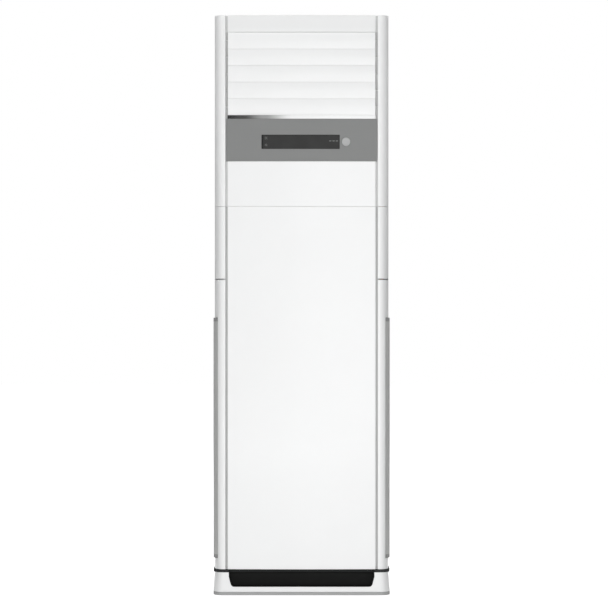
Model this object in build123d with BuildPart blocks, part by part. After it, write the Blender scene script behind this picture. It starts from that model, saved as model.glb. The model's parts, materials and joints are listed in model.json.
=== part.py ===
from build123d import *
import math
import os

os.makedirs("parts", exist_ok=True)

# Floor standing air conditioner. Millimetres; +X right, +Y to the rear, +Z up.
# The origin is on the floor, under the middle of the base. The front looks along -Y.

# ---------------------------------------------------------------- overall sizes
base_width = 540.0
base_depth = 380.0
side_setback = 4.0
front_setback = 2.0
rear_setback = 4.0

# ---------------------------------------------------------------- bands, from the floor up
pan_height = 10.0
plinth_height = 60.0
gasket_height = 9.0
lower_panel_height = 1107.0
fascia_height = 138.0
control_height = 129.5
accent_height = 11.5
louvre_pitch = 50.6
louvre_count = 5
top_band_height = 52.0
post_height = 886.0
sill_height = 33.0
grille_height = 736.0

# ---------------------------------------------------------------- walls and gaps
moulding = 3.0
sheet = 1.2
pan_sheet = 2.0
liner_sheet = 2.0
seat_gap = 0.3
seam = 0.8
running_gap = 0.05

# ---------------------------------------------------------------- front columns and panels
column_width = 33.8
column_depth = 38.0
corner_radius = 14.0
groove_width = 6.5
groove_depth = 16.0
flange_reach = 12.2
crown = 4.0
cap_thickness = 6.0
rear_flange_depth = 56.0

plinth_top = pan_height + plinth_height
panels_bottom = plinth_top + gasket_height
panel_seam = panels_bottom + lower_panel_height
control_bottom = panel_seam + fascia_height
control_top = control_bottom + control_height
outlet_bottom = control_top + accent_height
outlet_top = outlet_bottom + louvre_pitch * louvre_count
total_height = outlet_top + top_band_height
post_top = panels_bottom + post_height
grille_bottom = panels_bottom + sill_height
grille_top = grille_bottom + grille_height
cap_bottom = total_height - cap_thickness

base_half = base_width / 2
half_width = base_half - side_setback
cabinet_width = 2 * half_width
front_y = -base_depth / 2 + front_setback
rear_y = base_depth / 2 - rear_setback
middle_y = (front_y + rear_y) / 2
column_in = half_width - column_width
column_back = front_y + column_depth
panel_half = column_in - groove_width
flange_front = front_y + groove_depth
flange_back = flange_front + moulding
seat_x = column_in - flange_reach
panel_back = flange_front - seat_gap
rear_flange_front = rear_y - rear_flange_depth
rear_inside = rear_y - sheet
crown_radius = (panel_half**2 + crown**2) / (2 * crown)
crown_front = -base_depth / 2


# ---------------------------------------------------------------- drawing helpers
def block(x, y, z, mode=Mode.ADD):
    """A straight block between three pairs of coordinates."""
    with BuildSketch(Plane.XY.offset(z[0])) as foot:
        with Locations(((x[0] + x[1]) / 2, (y[0] + y[1]) / 2)):
            Rectangle(x[1] - x[0], y[1] - y[0])
    extrude(foot.sketch, amount=z[1] - z[0], mode=mode)


def rod(start, direction, radius, length, mode=Mode.ADD):
    """A round bar from a point, along a direction."""
    with BuildSketch(Plane(origin=start, z_dir=direction)) as end:
        Circle(radius)
    extrude(end.sketch, amount=length, mode=mode)


def flat_bore(start, direction, radius, length, clearance=running_gap):
    """An eight-sided hole whose flats clear a round pin by a gap."""
    with BuildSketch(Plane(origin=start, z_dir=direction)) as end:
        RegularPolygon(radius + clearance, 8, major_radius=False)
    extrude(end.sketch, amount=length, mode=Mode.SUBTRACT)


def faceted_rod(start, direction, radius, length, sides):
    """A moulded bar with flats that lie inside the given radius."""
    with BuildSketch(Plane(origin=start, z_dir=direction)) as end:
        RegularPolygon(radius, sides)
    extrude(end.sketch, amount=length)


def upright(y):
    """The plane parallel to the front at depth y, drawn in x and z, which faces the front."""
    return Plane.XZ.offset(-y)


def crown_y(x, inset=0.0):
    """Depth of the crowned front surface at x, set back by an inset."""
    return crown_front + crown_radius - math.sqrt((crown_radius - inset) ** 2 - x**2)


def crowned_outline(half, back, inset=0.0):
    """Plan outline with a crowned front, straight sides and a flat back."""
    with BuildLine() as outline:
        face = ThreePointArc(
            (-half, crown_y(half, inset)), (0, crown_y(0, inset)), (half, crown_y(half, inset))
        )
        Polyline(face @ 1, (half, back), (-half, back), face @ 0)
    make_face(outline.edges())


def crowned_pan(half, bottom, top):
    """A moulded front panel: crowned face, returned edges, open at the back."""
    with BuildSketch(Plane.XY.offset(bottom)) as outside:
        crowned_outline(half, panel_back)
    extrude(outside.sketch, amount=top - bottom)
    with BuildSketch(Plane.XY.offset(bottom + moulding)) as inside:
        crowned_outline(half - moulding, panel_back + moulding, moulding)
    extrude(inside.sketch, amount=top - bottom - 2 * moulding, mode=Mode.SUBTRACT)


def column_section():
    """Plan section of the right-hand column: face, rounded corner, side leg, groove and seat."""
    round_x = half_width - corner_radius
    round_y = front_y + corner_radius
    with BuildLine() as outline:
        Polyline(
            (round_x, front_y),
            (column_in, front_y),
            (column_in, flange_front),
            (seat_x, flange_front),
            (seat_x, flange_back),
            (column_in + moulding, flange_back),
            (column_in + moulding, front_y + moulding),
            (round_x, front_y + moulding),
        )
        CenterArc((round_x, round_y), corner_radius - moulding, -90, 90)
        Polyline(
            (half_width - moulding, round_y),
            (half_width - moulding, column_back),
            (half_width, column_back),
            (half_width, round_y),
        )
        CenterArc((round_x, round_y), corner_radius, -90, 90)
    make_face(outline.edges())


# ================================================================ base
anchor_inset = (70.0, 60.0)
anchor_x = base_half - anchor_inset[0]
anchor_y = base_depth / 2 - anchor_inset[1]
anchor_radius = 5.0

with BuildPart() as base_pan:
    with BuildSketch():
        RectangleRounded(base_width, base_depth, corner_radius)
    extrude(amount=pan_height)
    with BuildSketch(Plane.XY.offset(pan_sheet)):
        RectangleRounded(
            base_width - 2 * pan_sheet, base_depth - 2 * pan_sheet, corner_radius - pan_sheet
        )
    extrude(amount=pan_height, mode=Mode.SUBTRACT)
    with BuildSketch():
        with GridLocations(2 * anchor_x, 2 * anchor_y, 2, 2):
            Circle(anchor_radius)
    extrude(amount=pan_sheet, mode=Mode.SUBTRACT)
base_pan.part.label = "base_pan"
export_step(base_pan.part, "parts/base_pan.step")

# Toe opening: nearly upright sides that draw in towards rounded lower corners
toe_inset = 48.0
toe_draw = 8.0
toe_half = base_half - toe_inset
toe_foot_half = toe_half - toe_draw
toe_bottom = 26.0
toe_break = 56.0
toe_corner = 8.0
toe_depth = 22.0
toe_wall = 2.0


def toe_outline(inset, top):
    """Front outline of the toe opening, drawn in by an inset."""
    with BuildLine() as outline:
        Polyline(
            (-toe_half + inset, top),
            (-toe_half + inset, toe_break),
            (-toe_foot_half + inset, toe_bottom + inset),
            (toe_foot_half - inset, toe_bottom + inset),
            (toe_half - inset, toe_break),
            (toe_half - inset, top),
            close=True,
        )
    face = make_face(outline.edges())
    fillet(face.vertices().group_by(Axis.Y)[0], radius=toe_corner - inset)


with BuildPart() as base_plinth:
    with BuildSketch(Plane.XY.offset(pan_height + seat_gap)):
        RectangleRounded(base_width, base_depth, corner_radius)
    with BuildSketch(Plane.XY.offset(plinth_top)):
        with Locations((0, middle_y)):
            RectangleRounded(cabinet_width, rear_y - front_y, corner_radius)
    loft()
    with BuildSketch(Plane.XY.offset(pan_height + seat_gap)):
        RectangleRounded(
            base_width - 2 * moulding, base_depth - 2 * moulding, corner_radius - moulding
        )
    with BuildSketch(Plane.XY.offset(plinth_top)):
        with Locations((0, middle_y)):
            RectangleRounded(
                cabinet_width - 2 * moulding,
                rear_y - front_y - 2 * moulding,
                corner_radius - moulding,
            )
    loft(mode=Mode.SUBTRACT)
    with BuildSketch(upright(front_y + 2 * moulding)):
        toe_outline(0, panels_bottom)
    extrude(amount=4 * moulding, mode=Mode.SUBTRACT)
base_plinth.part.label = "base_plinth"
export_step(base_plinth.part, "parts/base_plinth.step")

with BuildPart() as toe_panel:
    toe_top = panels_bottom - seat_gap
    with BuildSketch(upright(front_y + toe_depth)):
        toe_outline(seat_gap, toe_top)
    extrude(amount=toe_depth)
    with BuildSketch(upright(front_y + toe_depth - toe_wall)):
        toe_outline(seat_gap + toe_wall, toe_top - toe_wall)
    extrude(amount=toe_depth, mode=Mode.SUBTRACT)
toe_panel.part.label = "toe_panel"
export_step(toe_panel.part, "parts/toe_panel.step")

# Dark gasket between the plinth and the columns, open at the front for the toe panel
gasket_inset = 3.0
gasket_width = 12.0

with BuildPart() as base_gasket:
    with BuildSketch(Plane.XY.offset(plinth_top)):
        with Locations((0, middle_y)):
            RectangleRounded(
                cabinet_width - 2 * gasket_inset,
                rear_y - front_y - 2 * gasket_inset,
                corner_radius - gasket_inset,
            )
            Rectangle(
                cabinet_width - 2 * (gasket_inset + gasket_width),
                rear_y - front_y - 2 * (gasket_inset + gasket_width),
                mode=Mode.SUBTRACT,
            )
        with Locations((0, front_y + gasket_width / 2)):
            Rectangle(2 * (toe_half + seat_gap), 2 * gasket_width, mode=Mode.SUBTRACT)
    extrude(amount=gasket_height)
base_gasket.part.label = "base_gasket"
export_step(base_gasket.part, "parts/base_gasket.step")

# ================================================================ columns and side walls
pocket_lip = 3.5
pocket_x = half_width - corner_radius + pocket_lip
bush_depth = 8.0
bush_y = front_y + bush_depth
shaft_radius = 3.0
louvre_z = [outlet_bottom + louvre_pitch * (row + 0.5) for row in range(louvre_count)]

for side in ("left", "right"):
    with BuildPart() as corner_post:
        with BuildSketch(Plane.XY.offset(panels_bottom + seat_gap)):
            column_section()
        extrude(amount=post_height - seat_gap)
        # Pocket that takes the side grille's front lip
        block(
            (pocket_x, base_half),
            (-base_half, base_half),
            (grille_bottom, grille_top),
            Mode.SUBTRACT,
        )
        block(
            (pocket_x - moulding, pocket_x),
            (front_y + moulding / 2, column_back),
            (grille_bottom - moulding, grille_top + moulding),
        )
        for shelf in (grille_bottom - moulding, grille_top):
            block(
                (pocket_x, half_width - moulding / 2),
                (front_y + corner_radius, column_back),
                (shelf, shelf + moulding),
            )
        if side == "left":
            mirror(about=Plane.YZ, mode=Mode.REPLACE)
    corner_post.part.label = f"corner_post_{side}"
    export_step(corner_post.part, f"parts/corner_post_{side}.step")

with BuildPart() as mid_columns:
    with BuildSketch(Plane.XY.offset(post_top + seam)):
        column_section()
    extrude(amount=panel_seam - seam / 2 - post_top - seam)
    mirror(about=Plane.YZ)
mid_columns.part.label = "mid_columns"
export_step(mid_columns.part, "parts/mid_columns.step")

for side in ("left", "right"):
    with BuildPart() as upper_column:
        with BuildSketch(Plane.XY.offset(panel_seam + seam / 2)):
            column_section()
        extrude(amount=total_height - panel_seam - seam / 2)
        # Closed top end, its edges half-way into the walls
        with BuildSketch(Plane.XY.offset(total_height - moulding)) as lid:
            with Locations(((column_in + half_width) / 2, (front_y + column_back) / 2)):
                Rectangle(column_width - moulding, column_depth - moulding)
            outer_front = lid.vertices().sort_by(lambda vertex: vertex.X - vertex.Y)[-1]
            fillet(outer_front, radius=corner_radius - moulding / 2)
        extrude(amount=moulding)
        # The seat flange is cut short beside the louvres
        block(
            (seat_x - 1, column_in - groove_width + seam),
            (flange_front - 1, flange_back + 1),
            (control_top, outlet_top),
            Mode.SUBTRACT,
        )
        # Bushes for the louvre shafts
        for height in louvre_z:
            flat_bore((column_in - 1, bush_y, height), (1, 0, 0), shaft_radius, moulding + 2)
        if side == "left":
            mirror(about=Plane.YZ, mode=Mode.REPLACE)
    upper_column.part.label = f"upper_column_{side}"
    export_step(upper_column.part, f"parts/upper_column_{side}.step")

side_front = column_back + seat_gap
side_back = rear_flange_front - seat_gap

for side, sign in (("left", -1), ("right", 1)):
    with BuildPart() as side_plate:
        block(
            sorted((sign * (half_width - sheet), sign * half_width)),
            (side_front, side_back),
            (grille_top + seat_gap, cap_bottom - seat_gap),
        )
    side_plate.part.label = f"side_plate_{side}"
    export_step(side_plate.part, f"parts/side_plate_{side}.step")

with BuildPart() as side_sills:
    block(
        (half_width - moulding, half_width),
        (side_front, side_back),
        (panels_bottom + seat_gap, grille_bottom),
    )
    mirror(about=Plane.YZ)
side_sills.part.label = "side_sills"
export_step(side_sills.part, "parts/side_sills.step")

# ================================================================ rear plate and wall strap
pipe_x = 150.0
pipe_z = 180.0
pipe_bore = 35.0
collar_depth = 9.0
strap_spacing = 200.0
strap_hole = 3.5
strap_height = 40.0
strap_length = 300.0
strap_foot = 40.0
strap_sheet = 2.0
strap_drop = 90.0
strap_z = total_height - strap_drop

with BuildPart() as rear_plate:
    block(
        (-half_width, half_width),
        (rear_flange_front, rear_y),
        (panels_bottom + seat_gap, cap_bottom - seat_gap),
    )
    block(
        (-half_width + sheet, half_width - sheet),
        (rear_flange_front, rear_inside),
        (panels_bottom + seat_gap, cap_bottom - seat_gap),
        Mode.SUBTRACT,
    )
    # Pipe outlet with a collar rolled inwards
    rod((pipe_x, rear_y, pipe_z), (0, -1, 0), pipe_bore + sheet, collar_depth)
    rod((pipe_x, rear_y, pipe_z), (0, -1, 0), pipe_bore, collar_depth, Mode.SUBTRACT)
    # Windows behind the strap's holes, for the screw heads
    for x in (-strap_spacing / 2, strap_spacing / 2):
        block(
            (x - 2 * strap_hole, x + 2 * strap_hole),
            (rear_inside - 1, rear_y + 1),
            (strap_z - 2 * strap_hole, strap_z + 2 * strap_hole),
            Mode.SUBTRACT,
        )
rear_plate.part.label = "rear_plate"
export_step(rear_plate.part, "parts/rear_plate.step")

# Anti-tip strap: a hat section with its feet on the rear plate
with BuildPart() as wall_bracket:
    strap_back = base_depth / 2
    raised = strap_back - strap_sheet
    foot_y = rear_y + seat_gap
    with BuildSketch(Plane.XY.offset(strap_z - strap_height / 2)):
        with BuildLine():
            Polyline(
                (-strap_length / 2, foot_y),
                (-strap_length / 2 + strap_foot, foot_y),
                (-strap_length / 2 + strap_foot + strap_sheet, raised),
                (strap_length / 2 - strap_foot - strap_sheet, raised),
                (strap_length / 2 - strap_foot, foot_y),
                (strap_length / 2, foot_y),
                (strap_length / 2, foot_y + strap_sheet),
                (strap_length / 2 - strap_foot + strap_sheet, foot_y + strap_sheet),
                (strap_length / 2 - strap_foot, strap_back),
                (-strap_length / 2 + strap_foot, strap_back),
                (-strap_length / 2 + strap_foot - strap_sheet, foot_y + strap_sheet),
                (-strap_length / 2, foot_y + strap_sheet),
                close=True,
            )
        make_face()
    extrude(amount=strap_height)
    for x in (-strap_spacing / 2, strap_spacing / 2):
        rod((x, strap_back, strap_z), (0, -1, 0), strap_hole, 2 * strap_sheet, Mode.SUBTRACT)
wall_bracket.part.label = "wall_bracket"
export_step(wall_bracket.part, "parts/wall_bracket.step")

# ================================================================ front panels and top
with BuildPart() as lower_front_panel:
    crowned_pan(panel_half, panels_bottom + seat_gap, panel_seam - seam / 2)
lower_front_panel.part.label = "lower_front_panel"
export_step(lower_front_panel.part, "parts/lower_front_panel.step")

with BuildPart() as upper_fascia:
    crowned_pan(panel_half, panel_seam + seam / 2, control_bottom - seat_gap)
upper_fascia.part.label = "upper_fascia"
export_step(upper_fascia.part, "parts/upper_fascia.step")

# The control panel runs past the grooves, almost to the columns
control_gap = 2.9
control_half = column_in - control_gap
window_x = (-122.0, 116.0)
window_rise = 38.0
window_height = 42.7
window_z = (control_bottom + window_rise, control_bottom + window_rise + window_height)
button_x = 135.7
button_rise = 59.7
button_z = control_bottom + button_rise
button_radius = 13.0
button_gap = 0.3
board_sheet = 1.6
board_setback = 4.0
board_y = flange_front - board_setback
board_margin = 14.0
boss_size = 6.0
board_x = (window_x[0] - board_margin, button_x + board_margin)
board_z = (window_z[0] - board_margin, window_z[1] + board_margin)

with BuildPart() as control_panel:
    crowned_pan(control_half, control_bottom, control_top)
    block(
        (window_x[0] - seat_gap, window_x[1] + seat_gap),
        (crown_front, crown_y(window_x[0], moulding) + 1),
        (window_z[0] - seat_gap, window_z[1] + seat_gap),
        Mode.SUBTRACT,
    )
    rod(
        (button_x, crown_front, button_z),
        (0, 1, 0),
        button_radius + button_gap,
        crown + 2 * moulding,
        Mode.SUBTRACT,
    )
    # Posts that carry the display board by its corners
    for x in board_x:
        for z in board_z:
            post_x = x - math.copysign(boss_size, x)
            block(
                (post_x - boss_size / 2, post_x + boss_size / 2),
                (crown_y(post_x, moulding / 2), board_y - seat_gap),
                (z - boss_size / 2, z + boss_size / 2),
            )
control_panel.part.label = "control_panel"
export_step(control_panel.part, "parts/control_panel.step")

with BuildPart() as accent_strip:
    with BuildSketch(Plane.XY.offset(control_top + seat_gap)):
        crowned_outline(panel_half, flange_front - moulding)
    extrude(amount=accent_height - 2 * seat_gap)
accent_strip.part.label = "accent_strip"
export_step(accent_strip.part, "parts/accent_strip.step")

window_back = crown_y(0, moulding)

with BuildPart() as display_window:
    with BuildSketch(Plane.XY.offset(window_z[0])):
        crowned_outline(control_half, crown_y(control_half, moulding), seat_gap)
    extrude(amount=window_height)
    block(window_x, (crown_front, window_back), window_z, Mode.INTERSECT)
display_window.part.label = "display_window"
export_step(display_window.part, "parts/display_window.step")

# Round power button with a retaining bar behind the panel
button_proud = 0.8
button_travel = 1.5
button_flange = 2.0
button_flange_height = 1.5
button_front = crown_y(button_x) - button_proud
button_seat = crown_y(button_x - button_radius, moulding) + crown / 4
button_back = button_seat + seat_gap + button_flange_height

with BuildPart() as power_button:
    rod(
        (button_x, button_back, button_z),
        (0, -1, 0),
        button_radius,
        button_back - button_front,
    )
    block(
        (button_x - button_radius / 2, button_x + button_radius / 2),
        (button_back - button_flange_height, button_back),
        (button_z - button_radius - button_flange, button_z + button_radius + button_flange),
    )
power_button.part.label = "power_button"
export_step(power_button.part, "parts/power_button.step")

with BuildPart() as display_board:
    block(board_x, (board_y, board_y + board_sheet), board_z)
    switch_front = button_back + button_travel + seat_gap
    block(
        (button_x - boss_size / 2, button_x + boss_size / 2),
        (switch_front, board_y),
        (button_z - boss_size / 2, button_z + boss_size / 2),
    )
    # Digit module behind the window
    block(
        (window_x[0] + board_margin, window_x[1] - board_margin),
        (window_back + 2 * seat_gap, board_y),
        (window_z[0] + board_margin / 2, window_z[1] - board_margin / 2),
    )
display_board.part.label = "display_board"
export_step(display_board.part, "parts/display_board.step")

with BuildPart() as top_cap:
    crowned_pan(panel_half, outlet_top + seam, total_height)
    block(
        (-seat_x + seat_gap, seat_x - seat_gap),
        (panel_back - 1, flange_back + seat_gap),
        (cap_bottom, total_height),
    )
    block(
        (-column_in + seat_gap, column_in - seat_gap),
        (flange_back + seat_gap, column_back + seat_gap),
        (cap_bottom, total_height),
    )
    block((-half_width, half_width), (column_back + seat_gap, rear_y), (cap_bottom, total_height))
top_cap.part.label = "top_cap"
export_step(top_cap.part, "parts/top_cap.step")

# ================================================================ blower
scroll_growth = 30.0
scroll_side_gap = 15.2
scroll_rear_gap = 29.8
scroll_depth = 150.0
scroll_sheet = 1.5
scroll_flange = 8.0
plate_arc_sides = 6
scroll_start = column_in - scroll_side_gap - 1.5 * scroll_growth
scroll_back = rear_inside - scroll_rear_gap
scroll_front = scroll_back - scroll_depth
fan_x = scroll_growth
fan_z = 600.0
cutoff_gap = 22.0
blade_depth = 27.0
eye_cover = 34.0
wheel_gap_front = 9.0
wheel_gap_back = 15.0
wheel_radius = scroll_start - cutoff_gap
wheel_eye = wheel_radius - blade_depth
eye_radius = wheel_radius - eye_cover
wheel_front = scroll_front + wheel_gap_front
wheel_back = scroll_back - wheel_gap_back
wheel_ring = 3.0
blade_count = 28
blade_bow = 8.0
blade_sheet = 1.6
cup_gap = 18.0
hub_radius = 18.0
hub_length = 18.0
hub_sides = 16
fan_shaft_radius = 6.0
deck_z = 900.0
deck_sheet = 2.0
motor_radius = 62.0
motor_ribs = 24
motor_rear_gap = 12.8
motor_length = 98.0
motor_nose_gap = 16.0
shaft_inset = 62.0
motor_back = rear_inside - motor_rear_gap
motor_front = motor_back - motor_length
shaft_end = motor_back - shaft_inset
cup_radius = motor_radius + cup_gap
cup_front = motor_front - motor_nose_gap
hub_front = cup_front - hub_length
motor_flange_half = 70.0
motor_flange_height = 4.0
bracket_sheet = 2.5
motor_opening = 80.0

turn_x = fan_x + scroll_growth / 2
turn_z = fan_z - scroll_growth / 2
scroll_left = turn_x - scroll_growth - (scroll_start + 2 * scroll_growth)
scroll_top = turn_z + scroll_start


def scroll_outline(top, flats=0):
    """Front outline of the air space: three quarter turns of growing radius, then a throat.

    Each quarter turn is an arc, or a number of flats.
    """
    second = (turn_x - scroll_growth, turn_z)
    third = (turn_x - scroll_growth, turn_z + scroll_growth)
    turns = (
        ((turn_x, turn_z), scroll_start, 0),
        (second, scroll_start + scroll_growth, 270),
        (third, scroll_start + 2 * scroll_growth, 180),
    )
    with BuildLine() as outline:
        for centre, radius, start in turns:
            arc = CenterArc(centre, radius, start, 90, mode=Mode.PRIVATE if flats else Mode.ADD)
            if flats:
                Polyline([arc @ (index / flats) for index in range(flats + 1)])
        Polyline((scroll_left, third[1]), (scroll_left, top), (turn_x, top), (turn_x, scroll_top))
    make_face(outline.edges())


with BuildPart() as scroll_wrap:
    wrap_top = deck_z - seat_gap
    with BuildSketch(upright(scroll_back)):
        scroll_outline(wrap_top)
        offset(amount=scroll_sheet, kind=Kind.INTERSECTION)
    extrude(amount=scroll_back - scroll_front)
    with BuildSketch(upright(scroll_back)):
        scroll_outline(wrap_top)
    extrude(amount=scroll_back - scroll_front, mode=Mode.SUBTRACT)
    block(
        (-half_width, half_width),
        (scroll_front - 1, scroll_back + 1),
        (wrap_top, wrap_top + 2 * scroll_sheet),
        Mode.SUBTRACT,
    )
scroll_wrap.part.label = "scroll_wrap"
export_step(scroll_wrap.part, "parts/scroll_wrap.step")

bell_sheet = 1.5
bell_reach = 14.0
bell_roll = 12.0
bell_sides = 32

# Front plate with a bellmouth pressed in it, which narrows to the wheel's eye
with BuildPart() as scroll_front_plate:
    plate_y = scroll_front - seat_gap
    with BuildSketch(upright(plate_y)):
        scroll_outline(deck_z - seat_gap - scroll_flange, plate_arc_sides)
        offset(amount=scroll_flange, kind=Kind.INTERSECTION)
    extrude(amount=scroll_sheet)
    for inset, mode in ((0, Mode.ADD), (bell_sheet, Mode.SUBTRACT)):
        with BuildSketch(upright(plate_y - scroll_sheet)):
            with Locations((fan_x, fan_z)):
                RegularPolygon(eye_radius + bell_roll - inset, bell_sides)
        with BuildSketch(upright(plate_y + bell_reach)):
            with Locations((fan_x, fan_z)):
                RegularPolygon(eye_radius - inset, bell_sides)
        loft(ruled=True, mode=mode)
scroll_front_plate.part.label = "scroll_front_plate"
export_step(scroll_front_plate.part, "parts/scroll_front_plate.step")

with BuildPart() as scroll_rear_plate:
    with BuildSketch(upright(scroll_back + seat_gap + scroll_sheet)):
        scroll_outline(deck_z - seat_gap - scroll_flange, plate_arc_sides)
        offset(amount=scroll_flange, kind=Kind.INTERSECTION)
        with Locations((fan_x, fan_z)):
            Circle(motor_opening, mode=Mode.SUBTRACT)
    extrude(amount=scroll_sheet)
scroll_rear_plate.part.label = "scroll_rear_plate"
export_step(scroll_rear_plate.part, "parts/scroll_rear_plate.step")

# Forward-curved centrifugal wheel: hub, cup round the motor, back plate, blades, front ring
with BuildPart() as fan_wheel:
    # Each plate, and the cup, has a flat between every two blades
    with BuildSketch(upright(wheel_back)):
        with Locations((fan_x, fan_z)):
            RegularPolygon(wheel_radius, blade_count)
    extrude(amount=wheel_ring)
    with BuildSketch(upright(wheel_back)):
        with Locations((fan_x, fan_z)):
            RegularPolygon(cup_radius, blade_count)
    extrude(amount=wheel_back - cup_front)
    with BuildSketch(upright(wheel_back)):
        with Locations((fan_x, fan_z)):
            RegularPolygon(cup_radius - wheel_ring, blade_count)
    extrude(amount=wheel_back - cup_front - wheel_ring, mode=Mode.SUBTRACT)
    faceted_rod((fan_x, hub_front, fan_z), (0, 1, 0), hub_radius, hub_length + wheel_ring, hub_sides)
    rod((fan_x, cup_front, fan_z), (0, 1, 0), fan_shaft_radius, shaft_end - cup_front)
    with BuildSketch(upright(wheel_front + wheel_ring)):
        with Locations((fan_x, fan_z)):
            RegularPolygon(wheel_radius, blade_count)
            RegularPolygon(wheel_eye, blade_count, mode=Mode.SUBTRACT)
    extrude(amount=wheel_ring)
    # One blade, folded once so that its tip runs forward
    with BuildSketch(mode=Mode.PRIVATE) as blade:
        fold_radius = (wheel_eye + wheel_radius) / 2
        blade_tip = wheel_radius * math.cos(math.pi / blade_count) - 1
        with BuildLine():
            Polyline(
                (wheel_eye + 1, 0),
                (fold_radius, -blade_bow),
                (blade_tip, blade_bow / 4),
                (blade_tip, blade_bow / 4 + blade_sheet),
                (fold_radius, blade_sheet - blade_bow),
                (wheel_eye + 1, blade_sheet),
                close=True,
            )
        make_face()
    with BuildSketch(upright(wheel_back - wheel_ring)):
        with Locations((fan_x, fan_z)):
            with PolarLocations(0, blade_count):
                add(blade.sketch)
    extrude(amount=wheel_back - wheel_front - 2 * wheel_ring)
fan_wheel.part.label = "fan_wheel"
export_step(fan_wheel.part, "parts/fan_wheel.step")

bracket_front = scroll_back + seat_gap + scroll_sheet + seat_gap
bracket_arm = 24.0
bracket_reach = 112.0

with BuildPart() as motor_bracket:
    with BuildSketch(upright(bracket_front + bracket_sheet)):
        with Locations((fan_x, fan_z)):
            Rectangle(2 * bracket_reach, 2 * (motor_radius + bracket_arm))
            Rectangle(2 * motor_radius + 2, 2 * motor_radius + 2, mode=Mode.SUBTRACT)
    extrude(amount=bracket_sheet)
motor_bracket.part.label = "motor_bracket"
export_step(motor_bracket.part, "parts/motor_bracket.step")

with BuildPart() as fan_motor:
    faceted_rod(
        (fan_x, motor_front, fan_z), (0, 1, 0), motor_radius, motor_back - motor_front, motor_ribs
    )
    flange_y = bracket_front + bracket_sheet + seat_gap
    block(
        (fan_x - motor_flange_half, fan_x + motor_flange_half),
        (flange_y, flange_y + motor_flange_height),
        (fan_z - motor_flange_half, fan_z + motor_flange_half),
    )
    flat_bore(
        (fan_x, motor_front, fan_z),
        (0, 1, 0),
        fan_shaft_radius,
        shaft_end - motor_front + seat_gap,
    )
fan_motor.part.label = "fan_motor"
export_step(fan_motor.part, "parts/fan_motor.step")

# ================================================================ deck, duct and baffle
liner_x = column_in
liner_front = flange_back + seat_gap
liner_back = rear_inside - seat_gap
deck_half = liner_x - seat_gap
liner_overlap = 40.0
liner_bottom = deck_z - liner_overlap
gas_radius = 8.0
liquid_radius = 4.8
gas_inset = (11.0, 34.0)
liquid_inset = (16.0, 52.0)
gas_x = half_width - gas_inset[0]
gas_y = rear_y - gas_inset[1]
gas_z = 1375.0
liquid_x = half_width - liquid_inset[0]
liquid_y = rear_y - liquid_inset[1]
liquid_z = 1335.0
pipe_end_z = 300.0

with BuildPart() as fan_deck:
    block((-deck_half, deck_half), (liner_front, liner_back), (deck_z, deck_z + deck_sheet))
    block(
        (scroll_left, turn_x),
        (scroll_front, scroll_back),
        (deck_z - 1, deck_z + 2 * deck_sheet),
        Mode.SUBTRACT,
    )
fan_deck.part.label = "fan_deck"
export_step(fan_deck.part, "parts/fan_deck.step")

with BuildPart() as duct_sides:
    for sign in (-1, 1):
        block(
            sorted((sign * liner_x, sign * (liner_x + liner_sheet))),
            (liner_front, liner_back),
            (liner_bottom, outlet_top - seat_gap),
        )
    for y, z, radius in ((gas_y, gas_z, gas_radius), (liquid_y, liquid_z, liquid_radius)):
        flat_bore((liner_x - 1, y, z), (1, 0, 0), radius, 2 * liner_sheet, seat_gap)
duct_sides.part.label = "duct_sides"
export_step(duct_sides.part, "parts/duct_sides.step")

# ================================================================ louvres
louvre_gap = 1.0
louvre_end_gap = 0.5
louvre_chord = louvre_pitch - louvre_gap
louvre_half = panel_half - louvre_end_gap
louvre_edge = 2.0
louvre_bow = 1.2
louvre_web = 4.5
crank_radius = 18.0
crank_sheet = 2.5
crank_width = 9.0
crank_pin = 2.0
pin_sides = 12
crank_pin_sides = 8
link_sheet = 2.5
link_gap = 0.4
crank_gap = 1.0
crank_x = column_in + moulding + crank_gap
link_x = crank_x + crank_sheet + link_gap
motor_row = louvre_count // 2
step_radius = 12.0
step_length = 18.0
can_sides = 16
step_offset = 8.0
step_hub = 4.5
step_socket = 2.0
step_ear = 20.0
step_ear_width = 7.0
step_sheet = 0.8


def louvre_section():
    """Blade section in y and z about its shaft: bowed face, thick middle, thin edges."""
    half = louvre_chord / 2
    with BuildLine() as outline:
        front = ThreePointArc(
            (-louvre_edge, -half), (-louvre_edge - louvre_bow, 0), (-louvre_edge, half)
        )
        Polyline(
            front @ 1,
            (-louvre_edge + 1.5, half),
            (louvre_edge, louvre_web),
            (louvre_edge, -louvre_web),
            (-louvre_edge + 1.5, -half),
            front @ 0,
        )
    make_face(outline.edges())


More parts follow.
